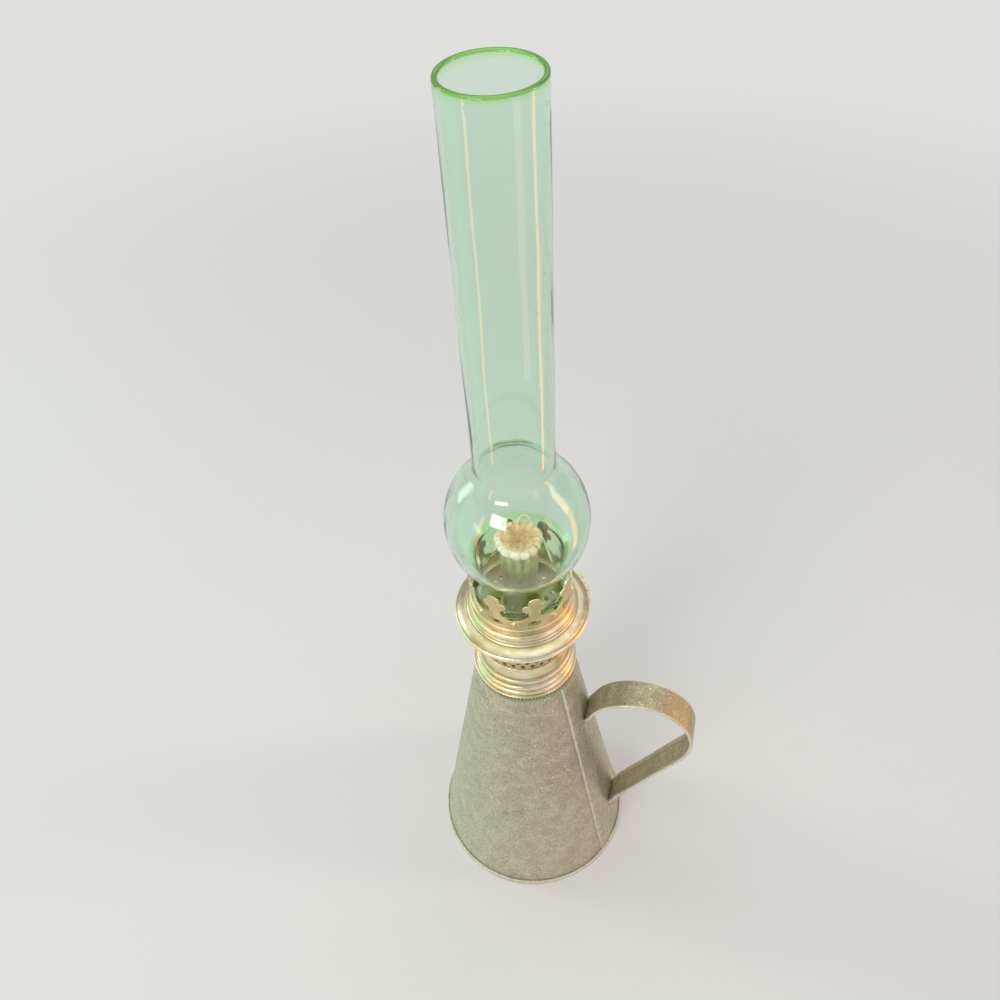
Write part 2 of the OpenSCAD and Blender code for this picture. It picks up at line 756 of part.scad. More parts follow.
module star_wheels() {
    color(dark_brass)
        for (side = [-1, 1])
            on_spindle(side * star_at - star_t / 2) difference() {
                linear_extrude(star_t) star();
                translate([0, 0, -1]) cylinder(h = star_t + 2, r = spindle_r, $fn = 48);
            }
}

// Dished thumbwheel with a scalloped rim and a hub
module thumbwheel() {
    web_t = 0.7;
    rim_t = 1.7;
    scallop_r = 0.62;
    hub_r = 2;
    hub_t = 2.4;
    color(brass) difference() {
        union() {
            on_spindle(thumb_at - web_t / 2) cylinder(h = web_t, r = thumb_r - 0.5);
            on_spindle(thumb_at - rim_t / 2) difference() {
                cylinder(h = rim_t, r = thumb_r);
                translate([0, 0, -1]) cylinder(h = rim_t + 2, r = thumb_r - 1.1);
            }
            on_spindle(thumb_at - hub_t) cylinder(h = hub_t, r = hub_r, $fn = 48);
        }
        on_spindle(thumb_at - rim_t) round_axis(thumb_scallops)
            translate([thumb_r + 0.15, 0, 0]) cylinder(h = 2 * rim_t, r = scallop_r, $fn = 24);
        on_spindle(thumb_at - hub_t - 1) cylinder(h = hub_t + 3, r = spindle_r, $fn = 48);
    }
}

// Domed rivet head on the outer end of the spindle
module spindle_rivet() {
    dome_r = 1.9;
    head_r = 1.5;
    rise = dome_r - sqrt(dome_r * dome_r - head_r * head_r);
    color(brass) on_spindle(thumb_at + spindle_end) difference() {
        translate([0, 0, rise - dome_r]) sphere(dome_r, $fn = 48);
        translate([0, 0, -2 * dome_r]) cylinder(h = 2 * dome_r, r = 2 * dome_r);
    }
}

// Woven wick: a tube that is open along one side up to the air duct
module wick() {
    low = pan_rise + sheet_t + wick_end_up;
    top = tube_top + rest_gap;
    open_top = duct_z + duct_h + wick_travel + 1;
    open_w = duct_w + 2 * wick_gap + 0.4;
    color(cotton) difference() {
        translate([0, 0, low]) cylinder(h = top - low, r = wick_r);
        translate([0, 0, low - 1]) cylinder(h = top - low + 2, r = wick_bore);
        rotate(duct_az) translate([0, -open_w / 2, low - 1])
            cube([tube_r, open_w, open_top - low + 1]);
    }
}

// End of the wick, spread over the tube's mouth in folds and dished in the middle
module wick_top() {
    low = tube_top + rest_gap;
    top = low + wick_top_h;
    eye_r = 1.2;
    dish = 1.6;
    fold_r = PI * wick_top_r / wick_folds * 0.82;
    color(cotton) intersection() {
        rotate_extrude()
            polygon(concat([[eye_r, low], [tube_bore - 0.2, low]],
                bow([tube_bore, low + 0.6], [wick_top_r - 0.4, top - 0.5], 0.35, 5),
                [[wick_top_r - 1.4, top], [eye_r, top - dish]]));
        translate([0, 0, low]) linear_extrude(wick_top_h) union() {
            circle(wick_top_r - fold_r * 0.75);
            for (i = [0:wick_folds - 1]) rotate(360 * i / wick_folds)
                translate([wick_top_r - fold_r, 0]) circle(fold_r, $fn = 32);
        }
    }
}

// Outline of the chimney's outside, from the foot to the top
function chimney_outline() =
    let (mid = [bulb_r - bulb_curve_r, chimney_z + bulb_up],
         low_fillet = 3, top_fillet = 7,
         low_c = [chimney_foot_r + low_fillet, mid[1]
             - sqrt(pow(bulb_curve_r + low_fillet, 2) - pow(chimney_foot_r + low_fillet - mid[0], 2))],
         top_c = [flue_r + top_fillet, mid[1]
             + sqrt(pow(bulb_curve_r + top_fillet, 2) - pow(flue_r + top_fillet - mid[0], 2))],
         low_a = atan2(low_c[1] - mid[1], low_c[0] - mid[0]),
         top_a = atan2(top_c[1] - mid[1], top_c[0] - mid[0]))
    concat([[chimney_foot_r, chimney_z + glass_t / 2]],
        arc(low_c, low_fillet, 180, low_a + 180, 5),
        arc(mid, bulb_curve_r, low_a, top_a, 28),
        arc(top_c, top_fillet, top_a + 180, 180, 8),
        [[flue_r, chimney_z + chimney_h - glass_t / 2]]);

module chimney() {
    foot_bead = 1.05;
    color(glass_green) rotate_extrude() {
        polygon(sheet(dedupe(chimney_outline()), glass_t));
        translate([chimney_foot_r - foot_bead, chimney_z + foot_bead]) circle(foot_bead, $fn = 48);
        translate([flue_r - glass_t / 2, chimney_z + chimney_h - glass_t / 2])
            circle(glass_t / 2, $fn = 48);
    }
}

font_cone();
font_bottom();
handle();
handle_solder();
font_collar();
burner_neck();
burner_floor();
burner_basket();
air_plate();
gallery_flange();
gallery_crown();
wick_tube();
draft_tube();
air_duct();
raiser_housing();
spindle_bush();
wick_spindle();
star_wheels();
thumbwheel();
spindle_rivet();
wick();
wick_top();
chimney();
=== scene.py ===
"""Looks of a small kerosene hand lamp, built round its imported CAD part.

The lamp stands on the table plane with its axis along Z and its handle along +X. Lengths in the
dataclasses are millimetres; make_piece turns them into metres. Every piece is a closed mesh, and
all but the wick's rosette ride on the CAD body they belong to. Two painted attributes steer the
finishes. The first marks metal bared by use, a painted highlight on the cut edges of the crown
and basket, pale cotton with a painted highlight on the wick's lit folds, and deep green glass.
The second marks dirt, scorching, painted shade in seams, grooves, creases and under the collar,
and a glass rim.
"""
import logging
import math
from dataclasses import dataclass, field
from enum import Enum
from functools import cached_property
from typing import Any, Optional, Sequence

import bmesh
import bpy
import numpy as np
from mathutils import Matrix, Vector


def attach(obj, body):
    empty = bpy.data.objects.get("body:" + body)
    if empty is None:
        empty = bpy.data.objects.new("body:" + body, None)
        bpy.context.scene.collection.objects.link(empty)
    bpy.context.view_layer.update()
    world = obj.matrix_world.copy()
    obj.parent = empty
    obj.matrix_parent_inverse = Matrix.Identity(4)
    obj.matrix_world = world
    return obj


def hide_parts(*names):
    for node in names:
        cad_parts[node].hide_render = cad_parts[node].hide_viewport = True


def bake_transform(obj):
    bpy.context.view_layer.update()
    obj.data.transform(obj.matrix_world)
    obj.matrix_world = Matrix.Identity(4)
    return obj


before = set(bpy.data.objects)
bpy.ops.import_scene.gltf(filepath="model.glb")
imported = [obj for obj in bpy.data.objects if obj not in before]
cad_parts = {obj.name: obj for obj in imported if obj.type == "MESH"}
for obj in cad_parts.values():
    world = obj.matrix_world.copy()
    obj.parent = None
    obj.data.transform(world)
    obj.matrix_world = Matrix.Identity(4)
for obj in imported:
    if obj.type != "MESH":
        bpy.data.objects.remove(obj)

MM = 0.001
BLACK = (0.0, 0.0, 0.0)
CORNER_POINTS = 5
LOG = logging.getLogger("lamp")
Colour = tuple[float, float, float]
Grid = np.ndarray
Material = bpy.types.Material
Object = bpy.types.Object


class Body(str, Enum):
    """The CAD bodies."""

    FONT = "font"
    BURNER = "burner"
    GEAR = "wick_gear"
    WICK = "wick"
    CHIMNEY = "chimney"


class Slot(str, Enum):
    """The record's material slots."""

    ZINC = "zinc_sheet"
    SOLDER = "solder"
    BRASS = "brass"
    DULL = "dull_brass"
    COTTON = "cotton"
    GLASS = "green_glass"


# Node graphs and finishes


@dataclass(frozen=True)
class Patch:
    """Noise patches about size mm across, from to[0] at the level low to to[1] at high."""

    size: float
    low: float
    high: float
    detail: float = 3.0
    rough: float = 0.55
    to: tuple = (0.0, 1.0)


class Graph:
    """A node tree, with one short call for each kind of node the finishes use."""

    def __init__(self, name: str, kind: Any = None) -> None:
        """Starts a material, or one of another kind of data that has nodes."""
        self.owner = (bpy.data.materials if kind is None else kind).new(name)
        self.owner.use_nodes = True
        self.tree = self.owner.node_tree

    @cached_property
    def place(self) -> Any:
        """The shaded point's place on its own object."""
        return self.add("ShaderNodeTexCoord").outputs["Object"]

    def feed(self, socket: Any, value: Any) -> None:
        """Links value to socket if it is a socket, and sets it otherwise."""
        if isinstance(value, bpy.types.NodeSocket):
            self.tree.links.new(value, socket)
        elif isinstance(value, tuple) and socket.type == "RGBA":
            socket.default_value = (*value, 1.0)
        else:
            socket.default_value = value

    def add(self, kind: str, inputs: Optional[dict] = None, **settings: Any) -> Any:
        """Adds a node.

        Args:
            kind: the node's Blender type.
            inputs: values or sockets by input name or index.
            settings: attributes to set on the node first.

        Returns:
            The node.
        """
        node = self.tree.nodes.new(kind)
        for key, value in settings.items():
            setattr(node, key, value)
        for key, value in (inputs or {}).items():
            self.feed(node.inputs[key], value)
        return node

    def noise(self, size: float, detail: float = 3.0, rough: float = 0.55,
              stretch: tuple = ()) -> Any:
        """Smooth noise whose features are about size mm across, on axes scaled by stretch."""
        at = self.place
        if stretch:
            at = self.add("ShaderNodeMapping", {"Vector": at, "Scale": stretch}).outputs[0]
        inputs = {"Vector": at, "Scale": 1 / (size * MM), "Detail": detail, "Roughness": rough}
        return self.add("ShaderNodeTexNoise", inputs).outputs[0]

    def patch(self, p: Patch) -> Any:
        """A mask of cloudy patches."""
        return self.span(self.noise(p.size, p.detail, p.rough), p.low, p.high, p.to)

    def cells(self, size: float) -> Any:
        """Outputs of a Voronoi node with cells about size mm across."""
        inputs = {"Vector": self.place, "Scale": 1 / (size * MM)}
        return self.add("ShaderNodeTexVoronoi", inputs).outputs

    def span(self, value: Any, low: float, high: float, to: tuple = (0.0, 1.0)) -> Any:
        """Value brought from low..high to the range to, smoothly and without leaving it."""
        inputs = {0: value, 1: low, 2: high, 3: to[0], 4: to[1]}
        return self.add("ShaderNodeMapRange", inputs, interpolation_type="SMOOTHSTEP").outputs[0]

    def layered(self, base: Any, *layers: tuple) -> Any:
        """The base colour with others laid over it, each a pair of its share and its colour."""
        for share, colour in layers:
            inputs = {0: share, 6: base, 7: colour}
            base = self.add("ShaderNodeMix", inputs, data_type="RGBA").outputs[2]
        return base

    def maths(self, operation: str, first: Any, second: Any) -> Any:
        """Result of one arithmetic step."""
        return self.add("ShaderNodeMath", {0: first, 1: second}, operation=operation).outputs[0]

    def times(self, first: Any, second: Any) -> Any:
        """The product of two values."""
        return self.maths("MULTIPLY", first, second)

    def plus(self, first: Any, second: Any) -> Any:
        """The sum of two values."""
        return self.maths("ADD", first, second)

    def painted(self, name: str) -> Any:
        """The mesh attribute name, which is 0 where a mesh doesn't have it."""
        return self.add("ShaderNodeAttribute", attribute_name=name).outputs["Fac"]

    def bump(self, height: Any, depth: float, under: Any = None) -> Any:
        """Normal bumped by height, whose full range stands for depth mm."""
        inputs = {"Height": height, "Distance": depth * MM}
        if under is not None:
            inputs["Normal"] = under
        return self.add("ShaderNodeBump", inputs).outputs[0]

    def shaded(self, values: dict) -> Material:
        """Feeds shader inputs by their exact names and returns the material."""
        for key, value in values.items():
            self.feed(self.tree.nodes["Principled BSDF"].inputs[key], value)
        return self.owner


@dataclass(frozen=True)
class ZincSheet:
    """Old zinc-coated sheet: mottled, with fine pale specks, brighter on edges bared by use.

    Its tint goes from green at -X to brownish at +X: a painted tint of green light from one side
    and orange light from the other over the sheet's own grey. A pale bloom lies low on it, its fine
    specks are partly painted glints, and it is darker where dirt and painted shade are marked.
    """

    name: str = "zinc_sheet"
    green: Colour = (0.505, 0.545, 0.395)
    warm_lit_tone: Colour = (0.560, 0.470, 0.340)
    pale: Colour = (0.820, 0.790, 0.590)
    dark: Colour = (0.200, 0.190, 0.130)
    worn_and_glint: Colour = (0.860, 0.820, 0.700)
    metallic: float = 0.40
    side_light_shift: float = 0.0
    blotches: Patch = Patch(5.5, 0.40, 0.66, 4.0, 0.62)
    bloom: Patch = Patch(9.0, 0.30, 0.62, 5.0, 0.70)
    bloom_z: tuple = (0.085, 0.004)
    stains: Patch = Patch(13.0, 0.60, 0.74, 5.0, 0.68)
    grey: Patch = Patch(0.7, 0.42, 0.70, 2.0, 0.70, (0.0, 0.62))
    rubbed_and_highlight: Patch = Patch(3.0, 0.28, 0.55, to=(0.45, 1.0))
    gloss: Patch = Patch(4.0, 0.30, 0.70, 4.0, 0.65, (0.34, 0.62))

    def build(self) -> Material:
        """Builds the node material."""
        g = Graph(self.name)
        x = g.add("ShaderNodeSeparateXYZ", {0: g.place}).outputs
        # Painted side light: the tint runs from green at -X to brownish at +X.
        side_light_drift = g.plus(x[0], g.times(g.noise(38.0, 2.0), 0.05))
        low = g.span(x[2], *self.bloom_z, (0.0, 0.42))
        grain = g.cells(1.1)
        tone = g.add("ShaderNodeSeparateColor", {0: grain["Color"]}).outputs[0]
        # Fine pale specks: partly the spangle's grain, partly painted glints; they are also
        # glossier.
        glint_speck = g.times(g.span(tone, 0.82, 0.93), g.span(grain["Distance"], 0.46, 0.22))
        base = g.layered(
            self.green,
            # Brownish tint towards +X: painted light from that side.
            (g.span(side_light_drift, -0.005, 0.052 + self.side_light_shift), self.warm_lit_tone),
            (g.times(g.patch(self.blotches), 0.42), self.pale),
            (g.times(low, g.patch(self.bloom)), self.pale),
            (g.times(g.patch(self.stains), 0.5), self.dark),
            (g.patch(self.grey), self.dark),
            # Painted glints on the pale specks.
            (g.times(glint_speck, 0.85), self.worn_and_glint),
            (g.times(g.painted("wear"), g.patch(self.rubbed_and_highlight)), self.worn_and_glint),
            # Darker where marked: dirt, and painted shade in seams, hems and under the collar.
            (g.times(g.painted("grime"), 0.8), self.dark),
        )
        rough = g.maths("SUBTRACT", g.patch(self.gloss), g.times(glint_speck, 0.22))
        dents = g.bump(g.noise(24.0, 2.0), 0.35)
        skin = g.bump(g.plus(g.noise(1.5, 3.0, 0.6), g.times(tone, 0.45)), 0.17, dents)
        return g.shaded({"Base Color": base, "Roughness": rough, "Metallic": self.metallic,
                         "Normal": skin})


@dataclass(frozen=True)
class Brass:
    """Lacquered or bare brass: fine scratches, tarnish, painted shade and patina in recesses."""

    name: str
    bright: Colour = (0.920, 0.840, 0.610)
    deep: Colour = (0.760, 0.650, 0.370)
    tarnish: Colour = (0.330, 0.320, 0.150)
    rubbed_and_highlight: Colour = (0.960, 0.910, 0.720)
    verdigris_and_shade: Colour = (0.030, 0.120, 0.060)
    roughness: float = 0.27
    stain_share: float = 0.35
    clouds: Patch = Patch(9.0, 0.35, 0.68, 4.0, 0.60)
    stains: Patch = Patch(3.2, 0.52, 0.75, 5.0, 0.70)
    crust_and_shade: Patch = Patch(0.8, 0.30, 0.55, to=(0.55, 1.0))

    def build(self) -> Material:
        """Builds the node material."""
        g = Graph(self.name)
        # Dark green in the hollows: painted shade with a little green patina.
        green = g.times(g.painted("grime"), g.patch(self.crust_and_shade))
        base = g.layered(
            self.bright,
            (g.patch(self.clouds), self.deep),
            (g.times(g.patch(self.stains), self.stain_share), self.tarnish),
            # Paler where marked: brass polished by use, and a painted highlight on cut edges.
            (g.times(g.painted("wear"), 0.80), self.rubbed_and_highlight),
            (green, self.verdigris_and_shade),
        )
        gloss = Patch(2.6, 0.3, 0.72, 4.0, 0.65, (self.roughness, self.roughness + 0.20))
        rough = g.plus(g.patch(gloss), g.times(green, 0.35))
        scratches = g.noise(0.5, 2.0, 0.5, (0.10, 0.10, 1.0))
        skin = g.bump(scratches, 0.012, g.bump(g.noise(5.0, 2.0), 0.05))
        metal = g.maths("SUBTRACT", 1.0, g.times(green, 0.6))
        return g.shaded({"Base Color": base, "Roughness": rough, "Metallic": metal, "Normal": skin})


@dataclass(frozen=True)
class Solder:
    """Soft solder: smooth, silvery and slightly dull."""

    name: str = "solder"
    light: Colour = (0.62, 0.61, 0.56)
    dark: Colour = (0.27, 0.26, 0.21)
    stains: Patch = Patch(2.0, 0.38, 0.68, 4.0, 0.65)
    gloss: Patch = Patch(1.4, 0.30, 0.70, to=(0.26, 0.48))

    def build(self) -> Material:
        """Builds the node material."""
        g = Graph(self.name)
        base = g.layered(self.light, (g.patch(self.stains), self.dark))
        skin = g.bump(g.noise(1.1, 3.0, 0.6), 0.12)
        return g.shaded({"Base Color": base, "Roughness": g.patch(self.gloss), "Metallic": 0.85,
                         "Normal": skin})


@dataclass(frozen=True)
class Cotton:
    """Woven cotton of the wick, browned by use at its eye."""

    name: str = "cotton"
    clean: Colour = (0.920, 0.640, 0.360)
    pale: Colour = (0.970, 0.890, 0.740)
    brown: Colour = (0.560, 0.300, 0.120)
    char: Colour = (0.050, 0.030, 0.020)
    stains: Patch = Patch(2.2, 0.36, 0.70, 4.0, 0.65)
    gloss: Patch = Patch(1.0, 0.30, 0.70, 2.0, to=(0.82, 0.96))

    def build(self) -> Material:
        """Builds the node material."""
        g = Graph(self.name)
        base = g.layered(
            self.clean,
            (g.patch(self.stains), self.brown),
            # Paler where marked: pale cotton, and a painted highlight on the lit folds.
            (g.painted("wear"), self.pale),
            # Brown and charred where marked: scorching, and painted shade in the creases.
            (g.span(g.painted("grime"), 0.0, 0.75), self.brown),
            (g.span(g.painted("grime"), 0.70, 1.0), self.char),
        )
        waves = {"Vector": g.place, "Scale": 900.0, "Distortion": 4.0, "Detail": 2.0}
        weave = g.add("ShaderNodeTexWave", waves).outputs[1]
        skin = g.bump(g.plus(weave, g.noise(0.5, 3.0, 0.7)), 0.16)
        return g.shaded({"Base Color": base, "Roughness": g.patch(self.gloss),
                         "Sheen Weight": 0.25, "Normal": skin})


@dataclass(frozen=True)
class GreenGlass:
    """Pale green blown glass, greener where light runs along it, with old handling marks."""

    name: str = "green_glass"
    clear: Colour = (0.900, 0.970, 0.915)
    deep: Colour = (0.640, 0.960, 0.480)
    misty: Colour = (0.870, 0.950, 0.930)
    rim: Colour = (0.270, 0.640, 0.120)
    soaked: Colour = (0.0, 0.82, 0.16)
    density: float = 42.0
    mist: Patch = Patch(30.0, 0.35, 0.70, 2.0, to=(0.0, 0.35))
    smudges: Patch = Patch(14.0, 0.48, 0.78, 5.0, 0.70, (0.0, 0.02))
    dust: Patch = Patch(0.9, 0.66, 0.80, 2.0, 0.70, (0.0, 0.06))

    def build(self) -> Material:
        """Builds the node material, with a volume that soaks up more where the wall is deep."""
        g = Graph(self.name)
        base = g.layered(
            self.clear,
            (g.painted("wear"), self.deep),
            (g.patch(self.mist), self.misty),
            # Rim green where marked: partly the rim's own colour, partly painted light along the
            # wall.
            (g.painted("grime"), self.rim),
        )
        rough = g.plus(0.012, g.plus(g.patch(self.smudges), g.patch(self.dust)))
        ripple = g.bump(g.noise(11.0, 1.0, 0.4, (1.0, 1.0, 0.25)), 0.16)
        seeds = g.bump(g.span(g.cells(4.0)["Distance"], 0.10, 0.02), 0.05, ripple)
        through = g.maths("SUBTRACT", 1.0, g.times(g.painted("grime"), 0.6))
        volume = {"Color": self.soaked, "Density": self.density}
        depth = g.add("ShaderNodeVolumeAbsorption", volume).outputs[0]
        g.feed(g.tree.nodes["Material Output"].inputs["Volume"], depth)
        return g.shaded({"Base Color": base, "Roughness": rough, "IOR": 1.5,
                         "Transmission Weight": through, "Normal": seeds})


@dataclass
class Finishes:
    """One material for each finish of the lamp."""

    zinc: Material
    rim: Material
    handle: Material
    solder: Material
    brass: Material
    dull: Material
    crown: Material
    cotton: Material
    glass: Material

    @classmethod
    def build(cls) -> "Finishes":
        """Builds all the materials."""
        rim = ZincSheet("zinc_rim", green=(0.64, 0.61, 0.50), warm_lit_tone=(0.68, 0.61, 0.51))
        handle = ZincSheet("zinc_strap", green=(0.50, 0.51, 0.33), warm_lit_tone=(0.53, 0.50, 0.33),
                           dark=(0.19, 0.16, 0.08), metallic=0.6, side_light_shift=0.03)
        dull = Brass("dull_brass", bright=(0.66, 0.56, 0.33), deep=(0.48, 0.38, 0.18),
                     roughness=0.36, stain_share=0.6)
        crown = Brass("brass_crown", bright=(0.74, 0.65, 0.40), deep=(0.56, 0.47, 0.24),
                      roughness=0.30, stain_share=0.5)
        finishes = (ZincSheet(), rim, handle, Solder(), Brass("brass"), dull, crown, Cotton(),
                    GreenGlass())
        return cls(*(finish.build() for finish in finishes))


# Outlines and surfaces


def smooth(low: float, high: float, value: Grid) -> Grid:
    """Smooth step from 0 at low to 1 at high."""
    t = np.clip((np.asarray(value, float) - low) / (high - low), 0.0, 1.0)
    return t * t * (3.0 - 2.0 * t)


def peak(value: Grid, at: Any, width: float) -> Grid:
    """Bell of height 1 where value is at, which falls to 1/e a width away."""
    return np.exp(-(((value - at) / width) ** 2))


def bulge(z: Grid, out: float, at: float, radius: float) -> Grid:
    """Radius at heights z of a round ring whose section is centred at radius out and height at."""
    return out + np.sqrt(np.maximum(radius**2 - (z - at) ** 2, 0.0))


def line(first: Sequence[float], last: Sequence[float], count: int) -> Grid:
    """Evenly spaced points from first to last, both included."""
    return np.linspace(first, last, count)


def arc(centre: Sequence[float], radius: float, start: float, end: float, count: int) -> Grid:
    """Points of an arc, angles in degrees."""
    a = np.radians(np.linspace(start, end, count))
    return np.stack([centre[0] + radius * np.cos(a), centre[1] + radius * np.sin(a)], -1)


def bow(first: Sequence[float], last: Sequence[float], rise: float, count: int = 12) -> Grid:
    """Points of an arc from first to last that rises to the left of its chord."""
    p, q = np.asarray(first, float), np.asarray(last, float)
    chord = np.linalg.norm(q - p)
    half = 2.0 * math.atan(2.0 * rise / chord)
    radius = chord / (2.0 * math.sin(half))
    along = (q - p) / chord
    up = np.array([-along[1], along[0]])
    a = half * np.linspace(-1.0, 1.0, count)[:, None]
    return (p + q) / 2 + along * radius * np.sin(a) + up * radius * (np.cos(a) - math.cos(half))


def softened(points: Sequence, cut: float) -> Grid:
    """The closed outline with each corner drawn as a short curve of CORNER_POINTS points.

    Args:
        points: corners of the outline.
        cut: how far from the corner the curve starts, at most.

    Returns:
        The points of the new outline.
    """
    p = np.asarray(points, float)
    sides = [np.roll(p, shift, 0) - p for shift in (1, -1)]
    first, last = (
        (p + side * np.minimum(cut / np.linalg.norm(side, axis=1), 0.45)[:, None])[:, None]
        for side in sides
    )
    t = np.linspace(0.0, 1.0, CORNER_POINTS)[None, :, None]
    return ((1 - t) ** 2 * first + 2 * t * (1 - t) * p[:, None] + t**2 * last).reshape(-1, 2)


def resampled(knots: Sequence, count: int) -> Grid:
    """A chain of count points over that of the knots, evenly spaced by knot number."""
    p = np.asarray(knots, float)
    at = np.linspace(0, len(p) - 1, count)
    return np.stack([np.interp(at, np.arange(len(p)), column) for column in p.T], -1)


def eased(points: Grid, kept: float = 0.5, times: int = 1) -> Grid:
    """The chain with its inner points drawn to their neighbours' middle, less a kept share."""
    p, side = points.copy(), (1 - kept) / 2
    for _ in range(times):
        p[1:-1] = side * p[:-2] + kept * p[1:-1] + side * p[2:]
    return p


def unit(vectors: Grid) -> Grid:
    """The rows brought to length 1."""
    return vectors / np.linalg.norm(vectors, axis=1)[:, None]


def leftwards(points: Grid) -> Grid:
    """Unit vectors to the left of a flat chain of points."""
    ahead = unit(np.gradient(points, axis=0))
    return np.stack([-ahead[:, 1], ahead[:, 0]], -1)


def around(radius: Grid, angle: Grid, height: Grid) -> Grid:
    """Points at a radius, an angle and a height about Z."""
    return np.stack([radius * np.cos(angle), radius * np.sin(angle), height], -1)


def wrapped(angle: Grid) -> Grid:
    """The angle brought between -pi and pi."""
    return (np.asarray(angle) + math.pi) % (2 * math.pi) - math.pi


@dataclass
class Surface:
    """A mesh in millimetres with its painted attributes."""

    points: Grid
    faces: list
    paint: dict = field(default_factory=dict)

    def turned_right_out(self) -> "Surface":
        """The same surface with outward normals, judged by the volume it encloses."""
        halves = [f[:3] for f in self.faces] + [[f[0], *f[2:]] for f in self.faces if len(f) == 4]
        a, b, c = self.points[np.array(halves)].transpose(1, 0, 2)
        if np.einsum("ij,ij->i", a, np.cross(b, c)).sum() < 0:
            self.faces = [f[::-1] for f in self.faces]
        return self


def skin_of(grid: Grid, loop_rows: bool = False, caps: bool = False,
            paint: Optional[dict] = None) -> Surface:
    """A surface over a grid of points whose columns run round and close.

    Args:
        grid: points of shape (rows, columns, 3).
        loop_rows: whether the last row joins the first one.
        caps: whether each end row is closed by a fan to its middle.
        paint: attributes of shape (rows, columns).

    Returns:
        The surface, with outward normals.
    """
    rows, cols = grid.shape[:2]
    i = np.arange(rows if loop_rows else rows - 1)[:, None]
    j = np.arange(cols)[None, :]
    k, m = (i + 1) % rows, (j + 1) % cols
    quads = np.stack([i * cols + j, i * cols + m, k * cols + m, k * cols + j], -1).reshape(-1, 4)
    points, faces = grid.reshape(-1, 3), quads.tolist()
    paint = {name: np.asarray(value, float).reshape(-1) for name, value in (paint or {}).items()}
    if caps:
        near, far = j[0], m[0]
        first, last, end = len(points), len(points) + 1, (rows - 1) * cols
        points = np.concatenate([points, grid[0].mean(0)[None], grid[-1].mean(0)[None]])
        faces += np.stack([np.full(cols, first), far, near], -1).tolist()
        faces += np.stack([end + near, end + far, np.full(cols, last)], -1).tolist()
        paint = {key: np.append(v, [v[:cols].mean(), v[-cols:].mean()]) for key, v in paint.items()}
    return Surface(points, faces, paint).turned_right_out()


def turned(outline: Grid, columns: int = 192, change: Any = None, paint: Any = None) -> Surface:
    """A surface turned about Z from an outline of (radius, height) points.

    An outline that starts and ends on the axis is closed there by fans; any other is a loop.

    Args:
        outline: the points, counter-clockwise with radius to the right.
        columns: points round the axis.
        change: function of the radius, height and angle grids that gives the first two anew.
        paint: function of the same grids that gives the attributes.

    Returns:
        The surface.
    """
    ends = outline[0, 0] < 1e-6 and outline[-1, 0] < 1e-6
    rows = outline[1:-1] if ends else outline
    angle = np.linspace(0.0, 2 * math.pi, columns, endpoint=False)[None, :].repeat(len(rows), 0)
    radius, height = (rows[:, k : k + 1].repeat(columns, 1) for k in (0, 1))
    attributes = paint(radius, height, angle) if paint else {}
    if change:
        radius, height = change(radius, height, angle)
    return skin_of(around(radius, angle, height), loop_rows=not ends, caps=ends, paint=attributes)


def swept(path: Grid, radius: Grid, sides: int = 8) -> Surface:
    """A round cord along a path, closed at both ends.

    Args:
        path: points of the centre line.
        radius: its radius at each point.
        sides: points round it.

    Returns:
        The surface.
    """
    ahead = unit(np.gradient(path, axis=0))
    helper = np.where(np.abs(ahead[:, 2:3]) < 0.9, [[0.0, 0.0, 1.0]], [[1.0, 0.0, 0.0]])
    across = unit(np.cross(ahead, helper))
    up = np.cross(across, ahead)
    a = np.linspace(0.0, 2 * math.pi, sides, endpoint=False)[None, :, None]
    ring = across[:, None] * np.cos(a) + up[:, None] * np.sin(a)
    return skin_of(path[:, None] + ring * radius[:, None, None], caps=True)


def joined(parts: Sequence[Surface]) -> Surface:
    """Several unpainted surfaces as one mesh."""
    faces, start = [], 0
    for part in parts:
        faces += [[v + start for v in f] for f in part.faces]
        start += len(part.points)
    return Surface(np.concatenate([part.points for part in parts]), faces)


def add_object(name: str, data: Any) -> Object:
    """Adds an object of some data to the scene."""
    thing = bpy.data.objects.new(name, data)
    bpy.context.scene.collection.objects.link(thing)
    return thing


def placed(name: str, mesh: bpy.types.Mesh, material: Material, node: str,
           body: Optional[Body], sharp: float) -> Object:
    """Makes an object of a mesh and gives it its finish and its place in the lamp.

    Args:
        name: the object's name.
        mesh: its mesh, in metres.
        material: its finish.
        node: the CAD node that it stands for, if any.
        body: the CAD body that it rides on; None leaves it free.
        sharp: angle in degrees above which an edge is drawn sharp.

    Returns:
        The object.
    """
    mesh.materials.clear()
    mesh.materials.append(material)
    mesh.shade_smooth()
    mesh.set_sharp_from_angle(angle=math.radians(sharp))
    piece = add_object(name, mesh)
    if node:
        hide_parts(node)
    if body is not None:
        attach(piece, body.value)
    return piece


def make_piece(name: str, surface: Surface, material: Material, node: str = "",
               body: Optional[Body] = None, sharp: float = 38.0) -> Object:
    """Makes a placed object of a surface in millimetres; see placed for the rest."""
    mesh = bpy.data.meshes.new(name)
    mesh.from_pydata((surface.points * MM).tolist(), [], surface.faces)
    mesh.validate()
    for key, values in surface.paint.items():
        attribute = mesh.attributes.new(key, "FLOAT", "POINT")
        attribute.data.foreach_set("value", values.astype(np.float32))
    return placed(name, mesh, material, node, body, sharp)


